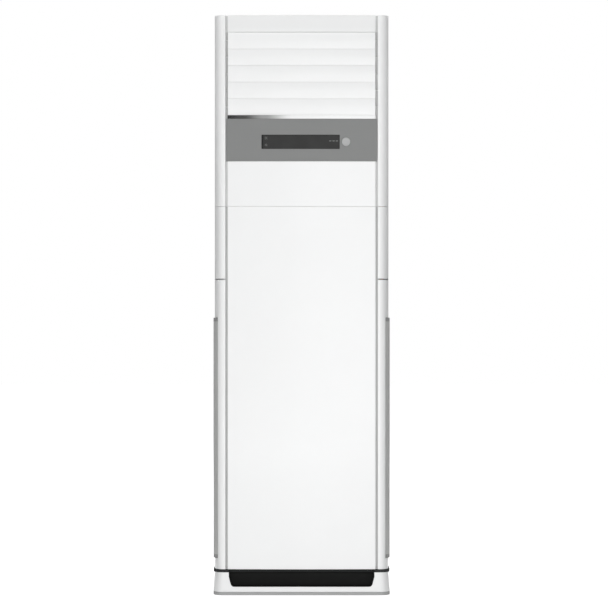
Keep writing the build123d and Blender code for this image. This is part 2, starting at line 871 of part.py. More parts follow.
for row, height in enumerate(louvre_z):
    with BuildPart() as louvre:
        with BuildSketch(Plane(origin=(-louvre_half, bush_y, height), x_dir=(0, 1, 0), z_dir=(1, 0, 0))):
            louvre_section()
        extrude(amount=2 * louvre_half)
        # Left shaft, crank arm and crank pin; right shaft
        rod((-louvre_half, bush_y, height), (-1, 0, 0), shaft_radius, crank_x - louvre_half)
        with BuildSketch(Plane(origin=(-crank_x, bush_y, height), x_dir=(0, 1, 0), z_dir=(-1, 0, 0))):
            with Locations((crank_radius / 2, 0)):
                arm = Rectangle(crank_radius + crank_width, crank_width)
            chamfer(arm.vertices(), length=crank_width * (1 - math.sqrt(0.5)))
        extrude(amount=crank_sheet)
        pin_start = (-crank_x - crank_sheet, bush_y + crank_radius, height)
        pin_length = link_gap + link_sheet + link_gap
        right_end = column_in + moulding
        if row == motor_row:
            # The driven louvre has a turned pin, and its shaft reaches into the motor
            rod(pin_start, (-1, 0, 0), crank_pin, pin_length)
            right_end += seat_gap + step_sheet + step_socket + step_hub
        else:
            faceted_rod(pin_start, (-1, 0, 0), crank_pin, pin_length, crank_pin_sides)
        faceted_rod(
            (louvre_half, bush_y, height),
            (1, 0, 0),
            shaft_radius,
            right_end - louvre_half,
            pin_sides,
        )
    louvre.part.label = f"louvre_{row + 1}"
    export_step(louvre.part, f"parts/louvre_{row + 1}.step")

with BuildPart() as louvre_link:
    link_length = louvre_z[-1] - louvre_z[0]
    link_plane = Plane(
        origin=(-link_x, bush_y + crank_radius, (louvre_z[0] + louvre_z[-1]) / 2),
        x_dir=(0, 0, 1),
        z_dir=(-1, 0, 0),
    )
    with BuildSketch(link_plane):
        Rectangle(link_length + crank_width, crank_width)
        with GridLocations(louvre_pitch, 1, louvre_count, 1):
            RegularPolygon(crank_pin + running_gap, 8, major_radius=False, mode=Mode.SUBTRACT)
    extrude(amount=link_sheet)
louvre_link.part.label = "louvre_link"
export_step(louvre_link.part, "parts/louvre_link.step")


def stepper(shaft, outward, to_body, ear_along):
    """Geared stepper motor: ears on its mounting plane, body set off from the shaft, socket."""
    body = shaft + to_body * step_offset
    with BuildSketch(Plane(origin=body, x_dir=ear_along, z_dir=outward)) as ears:
        Rectangle(2 * step_ear, step_ear_width)
    extrude(ears.sketch, amount=step_sheet)
    faceted_rod(body, outward, step_radius, step_length, can_sides)
    socket = step_sheet + step_socket + step_hub + seat_gap
    flat_bore(shaft, outward, shaft_radius, socket)


# ================================================================ vanes
vane_count = 5
vane_side_gap = 55.9
vane_pitch = 2 * (deck_half - vane_side_gap) / (vane_count - 1)
vane_setback = 30.0
vane_y = column_back + vane_setback
vane_front = 28.0
vane_rear = 30.0
vane_edge = 0.8
vane_pin = 2.5
vane_end_gap = 4.0
vane_crank = 22.0
vane_arm = 2.5
vane_arm_gap = 2.5
vane_arm_width = 8.0
floor_sheet = 3.0
floor_reach = 35.0
floor_back = vane_y + floor_reach
floor_bottom = control_top + seat_gap
floor_top = floor_bottom + floor_sheet
vane_xs = [vane_pitch * (index - (vane_count - 1) / 2) for index in range(vane_count)]
arm_top = floor_bottom - vane_arm_gap
arm_bottom = arm_top - vane_arm
link_top = arm_bottom - link_gap
link_bottom = link_top - link_sheet
drive_vane = vane_count // 2
drive_gap = 4.0
drive_bottom = link_bottom - drive_gap
hanger = 4.0

for index, x in enumerate(vane_xs):
    with BuildPart() as vane:
        # Blade, thickest at its pins, with thin leading and trailing edges
        with BuildSketch(Plane.XY.offset(floor_top + vane_end_gap)):
            with BuildLine():
                Polyline(
                    (x - vane_edge, vane_y - vane_front),
                    (x + vane_edge, vane_y - vane_front),
                    (x + vane_pin, vane_y),
                    (x + vane_edge, vane_y + vane_rear),
                    (x - vane_edge, vane_y + vane_rear),
                    (x - vane_pin, vane_y),
                    close=True,
                )
            make_face()
        extrude(amount=outlet_top - floor_top - 2 * vane_end_gap)
        faceted_rod(
            (x, vane_y, outlet_top - vane_end_gap),
            (0, 0, 1),
            vane_pin,
            vane_end_gap + floor_sheet,
            pin_sides,
        )
        foot_z = drive_bottom - step_socket - step_hub if index == drive_vane else arm_bottom
        rod((x, vane_y, foot_z), (0, 0, 1), vane_pin, floor_top + vane_end_gap - foot_z)
        with BuildSketch(Plane.XY.offset(arm_bottom)):
            with Locations((x, vane_y - vane_crank / 2)):
                Rectangle(vane_arm_width, vane_crank + vane_arm_width)
        extrude(amount=vane_arm)
        pin_start = (x, vane_y - vane_crank, link_bottom - link_gap)
        pin_length = arm_bottom - link_bottom + link_gap
        if index == drive_vane:
            rod(pin_start, (0, 0, 1), crank_pin, pin_length)
        else:
            faceted_rod(pin_start, (0, 0, 1), crank_pin, pin_length, crank_pin_sides)
    vane.part.label = f"vane_{index + 1}"
    export_step(vane.part, f"parts/vane_{index + 1}.step")

with BuildPart() as vane_link:
    with BuildSketch(Plane.XY.offset(link_bottom)):
        with Locations((0, vane_y - vane_crank)):
            Rectangle(vane_xs[-1] - vane_xs[0] + vane_arm_width, vane_arm_width)
            with GridLocations(vane_pitch, 1, vane_count, 1):
                RegularPolygon(crank_pin + running_gap, 8, major_radius=False, mode=Mode.SUBTRACT)
    extrude(amount=link_sheet)
vane_link.part.label = "vane_link"
export_step(vane_link.part, "parts/vane_link.step")

with BuildPart() as swing_motors:
    louvre_mount = Vector(column_in + moulding + seat_gap, bush_y, louvre_z[motor_row])
    stepper(louvre_mount, Vector(1, 0, 0), Vector(0, 1, 0), (0, 0, 1))
    vane_mount = Vector(vane_xs[drive_vane], vane_y, drive_bottom)
    stepper(vane_mount, Vector(0, 0, -1), Vector(0, -1, 0), (1, 0, 0))
    # Posts that hang the vane motor from the duct floor
    for ear_x in (vane_mount.X - step_ear, vane_mount.X + step_ear - hanger):
        block(
            (ear_x, ear_x + hanger),
            (vane_y - step_offset - hanger / 2, vane_y - step_offset + hanger / 2),
            (drive_bottom - step_sheet, floor_bottom - seat_gap),
        )
swing_motors.part.label = "swing_motors"
export_step(swing_motors.part, "parts/swing_motors.step")

with BuildPart() as duct_floor:
    block((-deck_half, deck_half), (liner_front, floor_back), (floor_bottom, floor_top))
    for x in vane_xs:
        flat_bore((x, vane_y, floor_bottom - 1), (0, 0, 1), vane_pin, 2 * floor_sheet)
duct_floor.part.label = "duct_floor"
export_step(duct_floor.part, "parts/duct_floor.step")

with BuildPart() as duct_ceiling:
    block(
        (-liner_x - liner_sheet, liner_x + liner_sheet),
        (liner_front, liner_back),
        (outlet_top, outlet_top + floor_sheet),
    )
    for x in vane_xs:
        flat_bore((x, vane_y, outlet_top - 1), (0, 0, 1), vane_pin, 2 * floor_sheet)
duct_ceiling.part.label = "duct_ceiling"
export_step(duct_ceiling.part, "parts/duct_ceiling.step")

# ================================================================ coil and drain pan
pan_setback = 16.0
pan_depth = 106.0
pan_front = vane_y + pan_setback
pan_back = pan_front + pan_depth
foot_setback = 42.0
coil_foot_y = pan_front + foot_setback
coil_length = 494.0
coil_depth = 80.0
coil_side_gap = 26.5
coil_rear_gap = 9.3
coil_half = column_in - coil_side_gap
fin_sheet = 1.0
fin_count = 20
coil_tie = 1.5
plate_margin = 5.0
plate_sheet = 1.5
pan_rim = 22.0
pan_wall = 2.5
bend_radius = 18.0
bend_tube = 4.8
bend_count = 3
pan_floor = deck_z + deck_sheet + seat_gap + pan_wall

# The coil leans back as far as the rear plate lets it
coil_head_y = liner_back - coil_rear_gap - plate_margin - coil_depth / 2
lean_sin = (coil_head_y - coil_foot_y) / coil_length
lean_cos = math.sqrt(1 - lean_sin**2)
# The lowest corner of the end plates rests just above the pan's floor
coil_foot_z = (
    pan_floor + seat_gap + plate_margin * lean_cos + (coil_depth / 2 + plate_margin) * lean_sin
)
coil_plane = Plane(
    origin=(0, coil_foot_y, coil_foot_z), x_dir=(1, 0, 0), z_dir=(0, -lean_cos, lean_sin)
)

with BuildPart() as coil_fins:
    with BuildSketch(coil_plane):
        with Locations((0, coil_length / 2)):
            Rectangle(2 * coil_half, coil_length)
            fin_pitch = (2 * coil_half - fin_sheet) / fin_count
            with GridLocations(fin_pitch, 1, fin_count, 1):
                Rectangle(fin_pitch - fin_sheet, coil_length - 2 * coil_tie, mode=Mode.SUBTRACT)
    extrude(amount=coil_depth / 2, both=True)
coil_fins.part.label = "coil_fins"
export_step(coil_fins.part, "parts/coil_fins.step")

plate_in = coil_half + seat_gap
plate_out = plate_in + plate_sheet

with BuildPart() as coil_end_plates:
    with BuildSketch(coil_plane):
        with Locations(((plate_in + plate_out) / 2, coil_length / 2)):
            Rectangle(plate_sheet, coil_length + 2 * plate_margin)
    extrude(amount=coil_depth / 2 + plate_margin, both=True)
    # Flange that closes the way past the coil, against the duct's side
    with BuildSketch(coil_plane.offset(coil_depth / 2 + plate_margin - plate_sheet)):
        with Locations(((plate_out + deck_half) / 2, coil_length / 2)):
            Rectangle(deck_half - plate_out, coil_length + 2 * plate_margin)
    extrude(amount=plate_sheet)
    mirror(about=Plane.YZ)
coil_end_plates.part.label = "coil_end_plates"
export_step(coil_end_plates.part, "parts/coil_end_plates.step")

with BuildPart() as coil_bends:
    bend_pitch = coil_length / bend_count
    for index in range(bend_count):
        along = bend_pitch * (index + 0.5)
        foot, knee = plate_out + seat_gap, plate_out + bend_radius / 2
        crest = plate_out + bend_radius
        with BuildLine() as route:
            Polyline(
                coil_plane.from_local_coords((foot, along, -bend_radius)),
                coil_plane.from_local_coords((knee, along, -bend_radius)),
                coil_plane.from_local_coords((crest, along, -bend_radius / 2)),
                coil_plane.from_local_coords((crest, along, bend_radius / 2)),
                coil_plane.from_local_coords((knee, along, bend_radius)),
                coil_plane.from_local_coords((foot, along, bend_radius)),
            )
        with BuildSketch(Plane(origin=route.wires()[0] @ 0, z_dir=(1, 0, 0))):
            RegularPolygon(bend_tube, 6)
        sweep(path=route.wires()[0], transition=Transition.RIGHT)
    mirror(about=Plane.YZ)
coil_bends.part.label = "coil_bends"
export_step(coil_bends.part, "parts/coil_bends.step")

nut_height = 20.0
nut_wall = 2.6

with BuildPart() as refrigerant_pipes:
    for x, y, z, radius in (
        (gas_x, gas_y, gas_z, gas_radius),
        (liquid_x, liquid_y, liquid_z, liquid_radius),
    ):
        # The mitre's inner corner stays clear of the duct's side
        mitre_reach = radius * math.tan(math.radians(22.5))
        turn = x - liner_x - liner_sheet - 2 * seat_gap - mitre_reach
        with BuildLine() as route:
            Polyline(
                (x, y, pipe_end_z),
                (x, y, z - turn),
                (x - turn, y, z),
                (plate_out + seat_gap, y, z),
            )
        with BuildSketch(Plane(origin=(x, y, pipe_end_z), z_dir=(0, 0, 1))):
            RegularPolygon(radius, 8, rotation=22.5)
        sweep(path=route.wires()[0], transition=Transition.RIGHT)
        with BuildSketch(Plane.XY.offset(pipe_end_z)):
            with Locations((x, y)):
                RegularPolygon(radius + nut_wall, 6, rotation=30)
        extrude(amount=nut_height)
refrigerant_pipes.part.label = "refrigerant_pipes"
export_step(refrigerant_pipes.part, "parts/refrigerant_pipes.step")

with BuildPart() as drain_pan:
    pan_z = deck_z + deck_sheet + seat_gap
    block((-deck_half + 1, deck_half - 1), (pan_front, pan_back), (pan_z, pan_z + pan_rim))
    block(
        (-deck_half + 1 + pan_wall, deck_half - 1 - pan_wall),
        (pan_front + pan_wall, pan_back - pan_wall),
        (pan_floor, pan_z + pan_rim),
        Mode.SUBTRACT,
    )
drain_pan.part.label = "drain_pan"
export_step(drain_pan.part, "parts/drain_pan.step")

baffle_gap = 2.0
baffle_sheet = 2.0
baffle_back = pan_front - baffle_gap
baffle_front = baffle_back - baffle_sheet

with BuildPart() as front_baffle:
    block(
        (-deck_half, deck_half),
        (baffle_front, baffle_back),
        (deck_z + deck_sheet + seat_gap, floor_bottom - seat_gap),
    )
front_baffle.part.label = "front_baffle"
export_step(front_baffle.part, "parts/front_baffle.step")

# ================================================================ electrical box
box_half = 150.0
box_height = 200.0
box_depth = 52.0
box_lift = 65.0
box_bottom = deck_z + box_lift
terminal_width = 46.0
terminal_height = 90.0
terminal_depth = 24.0
terminal_ribs = 6

with BuildPart() as electric_box:
    box_back = baffle_front - seat_gap
    block((-box_half, box_half), (box_back - box_depth, box_back), (box_bottom, box_bottom + box_height))
    block(
        (-box_half + sheet, box_half - sheet),
        (box_back - box_depth + sheet, box_back),
        (box_bottom + sheet, box_bottom + box_height - sheet),
        Mode.SUBTRACT,
    )
electric_box.part.label = "electric_box"
export_step(electric_box.part, "parts/electric_box.step")

with BuildPart() as terminal_block:
    terminal_x = (box_half + seat_gap, box_half + seat_gap + terminal_width)
    terminal_y = (box_back - terminal_depth, box_back)
    block(terminal_x, terminal_y, (box_bottom, box_bottom + terminal_height))
    # Barrier ribs with the screw wells between them
    well = terminal_height / terminal_ribs
    for index in range(terminal_ribs):
        block(
            (terminal_x[0] - 1, terminal_x[1] + 1),
            (terminal_y[0] - 1, terminal_y[0] + terminal_depth / 3),
            (box_bottom + well * index + sheet, box_bottom + well * (index + 1) - sheet),
            Mode.SUBTRACT,
        )
terminal_block.part.label = "terminal_block"
export_step(terminal_block.part, "parts/terminal_block.step")

# ================================================================ side grilles and filters
bay_count = 6
bay_rib = 9.0
slot_bar = 9.0
slot_columns = 6
lip_gap = 0.5
lip_step = 1.0
grille_lip_x = pocket_x + lip_gap
grille_front = front_y + lip_step
grille_depth_in = 11.0
grille_radius = base_half - grille_lip_x
grille_z0 = grille_bottom + seat_gap
grille_z1 = grille_top - seat_gap
filter_frame = 9.0
filter_depth = 8.0
filter_mesh = 0.8
filter_clear = 6.0
bay_pitch = grille_height / bay_count

for side in ("left", "right"):
    with BuildPart() as side_grille:
        # Skin with a rounded front lip that wraps the column's corner
        with BuildSketch(Plane.XY.offset(grille_z0)):
            with BuildLine():
                round_y = grille_front + grille_radius
                Polyline(
                    (grille_lip_x, grille_front + moulding),
                    (grille_lip_x, grille_front),
                )
                CenterArc((grille_lip_x, round_y), grille_radius, -90, 90)
                Polyline(
                    (base_half, round_y),
                    (base_half, side_back),
                    (base_half - grille_depth_in, side_back),
                    (base_half - grille_depth_in, side_back - moulding),
                    (base_half - moulding, side_back - moulding),
                    (base_half - moulding, round_y),
                )
                CenterArc((grille_lip_x, round_y), grille_radius - moulding, -90, 90)
            make_face()
        extrude(amount=grille_z1 - grille_z0)
        # Returned edges across the bottom and the top
        for low, high in ((grille_z0, grille_z0 + moulding), (grille_z1 - moulding, grille_z1)):
            block(
                (base_half - grille_depth_in, base_half - moulding / 2),
                (round_y, side_back - moulding / 2),
                (low, high),
            )
        # Upright slots in each bay, behind the rounded lip
        slot_span = side_back - grille_depth_in - column_back
        slot_pitch = slot_span / slot_columns
        slot_plane = Plane(
            origin=(base_half + 1, column_back + slot_span / 2, (grille_bottom + grille_top) / 2),
            x_dir=(0, 1, 0),
            z_dir=(-1, 0, 0),
        )
        with BuildSketch(slot_plane):
            with GridLocations(slot_pitch, bay_pitch, slot_columns, bay_count):
                Rectangle(slot_pitch - slot_bar, bay_pitch - bay_rib)
        extrude(amount=grille_depth_in + 1, mode=Mode.SUBTRACT)
        if side == "left":
            mirror(about=Plane.YZ, mode=Mode.REPLACE)
    side_grille.part.label = f"side_grille_{side}"
    export_step(side_grille.part, f"parts/side_grille_{side}.step")

    with BuildPart() as air_filter:
        # It seats inside the grille's returned edges, against the back of the slats
        filter_x1 = base_half - moulding - seat_gap
        filter_x0 = filter_x1 - filter_depth
        filter_y = (side_front + filter_clear, side_back - moulding - seat_gap)
        filter_z = (grille_z0 + moulding + seat_gap, grille_z1 - moulding - seat_gap)
        block((filter_x0, filter_x1), filter_y, filter_z)
        # Bays open from the outside down to the mesh
        inner_height = (filter_z[1] - filter_z[0] - filter_frame) / bay_count
        filter_plane = Plane(
            origin=(filter_x1, (filter_y[0] + filter_y[1]) / 2, (filter_z[0] + filter_z[1]) / 2),
            x_dir=(0, 1, 0),
            z_dir=(-1, 0, 0),
        )
        with BuildSketch(filter_plane):
            with GridLocations(1, inner_height, 1, bay_count):
                Rectangle(filter_y[1] - filter_y[0] - 2 * filter_frame, inner_height - filter_frame)
        extrude(amount=filter_depth - filter_mesh, mode=Mode.SUBTRACT)
        if side == "left":
            mirror(about=Plane.YZ, mode=Mode.REPLACE)
    air_filter.part.label = f"air_filter_{side}"
    export_step(air_filter.part, f"parts/air_filter_{side}.step")
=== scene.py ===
import json
import math

import bmesh
import bpy
from mathutils import Matrix, Vector

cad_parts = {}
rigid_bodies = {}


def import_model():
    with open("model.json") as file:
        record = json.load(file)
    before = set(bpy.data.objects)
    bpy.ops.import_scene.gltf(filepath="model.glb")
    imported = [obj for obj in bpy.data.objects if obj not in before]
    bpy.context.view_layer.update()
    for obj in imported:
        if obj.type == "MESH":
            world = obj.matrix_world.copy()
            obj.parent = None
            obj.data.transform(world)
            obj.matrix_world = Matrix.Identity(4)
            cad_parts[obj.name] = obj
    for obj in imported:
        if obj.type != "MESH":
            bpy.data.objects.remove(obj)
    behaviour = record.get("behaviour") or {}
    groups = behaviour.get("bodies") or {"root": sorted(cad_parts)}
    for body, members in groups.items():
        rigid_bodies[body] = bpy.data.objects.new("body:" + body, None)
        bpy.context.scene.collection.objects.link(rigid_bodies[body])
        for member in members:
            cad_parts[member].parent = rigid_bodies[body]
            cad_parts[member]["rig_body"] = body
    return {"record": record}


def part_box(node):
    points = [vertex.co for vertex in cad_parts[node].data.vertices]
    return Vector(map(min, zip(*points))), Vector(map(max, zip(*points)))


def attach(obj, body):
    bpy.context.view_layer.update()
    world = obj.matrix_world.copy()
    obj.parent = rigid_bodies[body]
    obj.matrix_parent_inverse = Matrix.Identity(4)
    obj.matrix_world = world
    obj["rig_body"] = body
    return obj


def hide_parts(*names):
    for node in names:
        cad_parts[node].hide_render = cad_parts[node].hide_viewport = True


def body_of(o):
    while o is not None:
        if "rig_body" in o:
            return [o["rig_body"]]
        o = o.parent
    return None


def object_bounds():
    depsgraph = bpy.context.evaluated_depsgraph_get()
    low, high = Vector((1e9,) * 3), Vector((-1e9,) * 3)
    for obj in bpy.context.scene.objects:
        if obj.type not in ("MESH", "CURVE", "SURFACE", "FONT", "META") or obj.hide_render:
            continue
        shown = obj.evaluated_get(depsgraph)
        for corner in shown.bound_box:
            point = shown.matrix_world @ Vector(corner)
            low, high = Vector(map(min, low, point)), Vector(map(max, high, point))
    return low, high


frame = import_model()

bl_info = {
    "name": "Floor standing air conditioner",
    "version": (1, 0, 0),
    "blender": (4, 5, 0),
    "location": "3D View > Sidebar > Cabinet",
    "description": "Models the mouldings, metalwork and studio of a floor standing air conditioner",
    "category": "Object",
}

CAD_BOX = [list(corner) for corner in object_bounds()]
MM = 0.001
ACROSS, DEEP, UP = (1, 0, 0), (0, 1, 0), (0, 0, 1)
FULL_TURN = 2 * math.pi
SHARP = 40.0  # degrees
HANDS = ("right", "left")
WALL = 3 * MM
POCKET = 10 * MM
CROWN = 4 * MM
CORNER = 14 * MM
COLUMN_CORNER = 30 * MM
CORNER_DEPTH_SHARE = 1.25
COLUMN_IN = 232.2 * MM
FLANGE_FRONT = -172 * MM
FLANGE_BACK = -169 * MM
WINDOW_INSET = 0.3 * MM
PANEL_LOW, PANEL_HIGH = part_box("lower_front_panel")
COLUMN_LOW, COLUMN_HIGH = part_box("upper_column_right")
POST_LOW, POST_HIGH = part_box("corner_post_right")
GRILLE_LOW, GRILLE_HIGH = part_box("side_grille_right")
COLUMN_TURN = COLUMN_LOW.y + COLUMN_CORNER * CORNER_DEPTH_SHARE
CROWN_RADIUS = (PANEL_HIGH.x**2 + CROWN**2) / (2 * CROWN)
CROWN_CENTRE = PANEL_LOW.y + CROWN_RADIUS


# ------------------------------------------------------------------ sizes and colours
def length(name, description, default):
    """A length property with the same units everywhere."""
    return bpy.props.FloatProperty(
        name=name, description=description, default=default, min=0.0, unit="LENGTH", precision=5
    )


def tint(name, description, default):
    """A linear colour property."""
    return bpy.props.FloatVectorProperty(
        name=name, description=description, default=default, size=3, subtype="COLOR", min=0.0, max=1.0
    )


class CabinetSizes(bpy.types.PropertyGroup):
    """Sizes that are finished in the scene."""

    moulded_edge: length("Moulded edge", "Rounding on the edges of the plastic mouldings", 0.7 * MM)
    panel_edge: length("Panel edge", "Rounding on the edges of the front panels", 0.45 * MM)
    folded_edge: length("Folded edge", "Rounding on the edges of the sheet metal", 0.4 * MM)
    slat_pitch: length("Slat pitch", "Distance between the upright slats of the side grilles", 7.4 * MM)
    slat_width: length("Slat width", "Width of one upright slat", 2.6 * MM)
    screw_head: length("Screw head", "Radius of the rear screws' heads", 4.2 * MM)
    lens: bpy.props.FloatProperty(
        name="Lens", description="Focal length of the camera", default=150.0, min=20.0, unit="CAMERA"
    )
    view_width: length("View width", "Width of the picture at the cabinet's front", 1.8542)


class CabinetColours(bpy.types.PropertyGroup):
    """Colours of the visible finishes."""

    white: tint("White", "Front mouldings", (0.84, 0.845, 0.845))
    # The top band's greyer tone is painted shade
    band: tint("Top band", "The slightly greyer band above the louvres", (0.8, 0.805, 0.805))
    sheet: tint("Sheet metal", "Painted side and rear sheets", (0.8, 0.805, 0.805))
    control: tint("Control panel", "Grey control panel", (0.208, 0.212, 0.21))
    window: tint("Window", "Smoked display window", (0.0235, 0.024, 0.0235))
    button: tint("Button", "Power button", (0.38, 0.385, 0.385))
    # The grilles' grey is partly the moulding's own tone and partly painted shade
    grille: tint("Grille", "Side grilles", (0.5, 0.505, 0.5))
    toe: tint("Toe", "Toe recess", (0.006, 0.0062, 0.006))
    # The foot's grey is partly its own coat and partly painted shade
    foot: tint("Foot", "Base pan's rim", (0.36, 0.365, 0.365))


# ------------------------------------------------------------------ finishes
def added(tree, kind, inputs, **settings):
    """A new shader node with its settings made and its inputs set or linked."""
    node = tree.nodes.new("ShaderNode" + kind)
    for name, value in settings.items():
        setattr(node, name, value)
    for name, value in inputs.items():
        if isinstance(value, bpy.types.NodeSocket):
            tree.links.new(value, node.inputs[name])
        else:
            node.inputs[name].default_value = value
    return node


def shade(colour, factor):
    """A colour made lighter or darker."""
    return tuple(min(1.0, channel * factor) for channel in colour)


class Finish:
    """A material in the making: its shader, and object coordinates to build on."""

    def __init__(self, name, colour, roughness, metallic=0.0, coat=0.0, gloss=0.5):
        self.colour = colour
        self.material = bpy.data.materials.new(name)
        self.material.use_nodes = True
        self.tree = self.material.node_tree
        self.shader = self.tree.nodes["Principled BSDF"]
        sockets = self.shader.inputs
        sockets["Base Color"].default_value = (*colour, 1.0)
        sockets["Roughness"].default_value = roughness
        sockets["Metallic"].default_value = metallic
        sockets["Specular IOR Level"].default_value = gloss
        sockets["Coat Weight"].default_value = coat
        sockets["Coat Roughness"].default_value = 0.08
        self.place = added(self.tree, "TexCoord", {}).outputs["Object"]

    def drive(self, socket, result):
        """A result linked into one of the shader's sockets."""
        self.tree.links.new(result, self.shader.inputs[socket])

    def noise(self, scale, detail=3.0, stretch=None):
        """Noise in object space; its factor output."""
        place = self.place
        if stretch:
            place = added(self.tree, "Mapping", {"Vector": place, "Scale": stretch}).outputs["Vector"]
        return added(self.tree, "TexNoise", {"Vector": place, "Scale": scale, "Detail": detail}).outputs[0]

    def waves(self, pitch, axis):
        """Even bands along an axis, one every pitch metres; their factor output."""
        inputs = {"Vector": self.place, "Scale": FULL_TURN / 20 / pitch}
        return added(self.tree, "TexWave", inputs, wave_type="BANDS", bands_direction=axis).outputs["Fac"]

    def ramp(self, factor, stops):
        """Colours along a factor, as the base colour."""
        node = added(self.tree, "ValToRGB", {"Fac": factor})
        node.color_ramp.interpolation = "EASE"
        while len(node.color_ramp.elements) < len(stops):
            node.color_ramp.elements.new(0.5)
        for element, (position, colour) in zip(node.color_ramp.elements, stops):
            element.position = position
            element.color = (*colour, 1.0)
        self.drive("Base Color", node.outputs["Color"])

    def tones(self, factor, darker, lighter, low=0.3, high=0.7):
        """The finish's own colour, from a darker to a lighter tone along a factor."""
        self.ramp(factor, [(low, shade(self.colour, darker)), (high, shade(self.colour, lighter))])

    def rough(self, factor, low, high):
        """The roughness, from a low to a high value along a factor's middle range."""
        ends = {"Value": factor, "From Min": 0.3, "From Max": 0.7, "To Min": low, "To Max": high}
        self.drive("Roughness", added(self.tree, "MapRange", ends).outputs["Result"])

    def relief(self, height, distance, strength):
        """Bump from a height, on top of any relief that is there already."""
        inputs = {"Height": height, "Distance": distance, "Strength": strength}
        normal = self.shader.inputs["Normal"]
        if normal.is_linked:
            inputs["Normal"] = normal.links[0].from_socket
        self.drive("Normal", added(self.tree, "Bump", inputs).outputs["Normal"])


def moulded(name, colour, roughness=0.35, coat=0.0, grain=0.004, cloud=0.006, gloss=0.5):
    """Injection-moulded plastic: a faint flow of tone, a fine spark-eroded grain."""
    finish = Finish(name, colour, roughness, coat=coat, gloss=gloss)
    finish.tones(finish.noise(4.0), 1 - cloud, 1 + cloud)
    finish.rough(finish.noise(60.0), roughness - 0.02, roughness + 0.02)
    finish.relief(finish.noise(900.0, 2.0), grain * MM, 0.3)
    return finish.material


def painted(name, colour, roughness=0.42):
    """Powder coat on sheet metal: orange peel over a slow waviness."""
    finish = Finish(name, colour, roughness)
    finish.tones(finish.noise(3.0), 0.985, 1.015)
    finish.relief(finish.noise(6.0, 1.0), 0.35 * MM, 0.3)
    finish.relief(finish.noise(500.0, 2.0), 0.03 * MM, 0.6)
    return finish.material


def galvanised(name):
    """Zinc-coated sheet with its spangle."""
    finish = Finish(name, (0.56, 0.57, 0.58), 0.38, metallic=1.0)
    spangle = added(finish.tree, "TexVoronoi", {"Vector": finish.place, "Scale": 140.0}).outputs["Color"]
    finish.tones(spangle, 0.95, 1.05, 0.1, 0.9)
    finish.rough(spangle, 0.39, 0.46)
    return finish.material


def drawn_metal(name, colour, roughness, stretch):
    """Metal drawn or rolled one way, with fine streaks."""
    finish = Finish(name, colour, roughness, metallic=1.0)
    streaks = finish.noise(120.0, 4.0, stretch)
    finish.tones(streaks, 0.88, 1.08)
    finish.rough(streaks, roughness - 0.08, roughness + 0.1)
    finish.relief(streaks, 0.02 * MM, 0.5)
    return finish.material


def painted_reflection_strip(name, white):
    """Polished strip whose colour runs from near black at its left end to white: painted shade and
    reflection.
    """
    finish = Finish(name, white, 0.22, coat=0.4)
    across = added(finish.tree, "SeparateXYZ", {"Vector": finish.place}).outputs["X"]
    along = added(finish.tree, "MapRange", {"Value": across, "From Min": -226 * MM, "From Max": 0.0})
    black, dark, grey = (0.012, 0.0122, 0.012), (0.045, 0.046, 0.045), (0.3, 0.305, 0.3)
    # Painted shade and reflection: near black at the left end, fading to white
    finish.ramp(along.outputs["Result"], [(0.0, black), (0.22, dark), (0.5, grey), (0.88, white)])
    finish.relief(finish.noise(1400.0, 2.0), 0.006 * MM, 0.4)
    return finish.material


def finned(name):
    """Stacked aluminium fins: fine bands across the coil, the dark bands painted shade between the fins."""
    finish = Finish(name, (0.74, 0.75, 0.76), 0.34, metallic=1.0)
    bands = finish.waves(2.0 * MM, "X")
    # Dark bands are painted shade between the fins
    finish.ramp(bands, [(0.1, (0.2, 0.21, 0.22)), (0.7, (0.8, 0.81, 0.82))])
    finish.relief(bands, 0.6 * MM, 0.9)
    return finish.material


def netting(name, colour):
    """Woven filter net."""
    finish = Finish(name, colour, 0.7)
    crossing = {0: finish.waves(1.6 * MM, "Y"), 1: finish.waves(1.6 * MM, "Z")}
    threads = added(finish.tree, "Math", crossing, operation="MAXIMUM").outputs["Value"]
    finish.tones(threads, 0.3, 1.5, 0.35, 0.8)
    finish.relief(threads, 0.4 * MM, 0.9)
    return finish.material


def circuit(name):
    """Solder mask with tracks under it."""
    finish = Finish(name, (0.03, 0.16, 0.06), 0.35, coat=0.3)
    turn = {"Vector": finish.place, "Rotation": (math.pi / 2, 0.0, 0.0)}
    tracks = added(finish.tree, "TexBrick", {
        "Vector": added(finish.tree, "Mapping", turn).outputs["Vector"],
        "Scale": 60.0,
        "Color1": (0.02, 0.13, 0.045, 1.0),
        "Color2": (0.03, 0.17, 0.06, 1.0),
        "Mortar": (0.07, 0.27, 0.1, 1.0),
    })
    finish.drive("Base Color", tracks.outputs["Color"])
    return finish.material


def smoked(name, colour):
    """Smoked window: dark and even, with a trace of moulding ripple."""
    finish = Finish(name, colour, 0.42, gloss=0.3)
    finish.tones(finish.noise(30.0), 0.9, 1.1)
    finish.relief(finish.noise(14.0, 1.0), 0.15 * MM, 0.25)
    return finish.material


FINISHES = {}


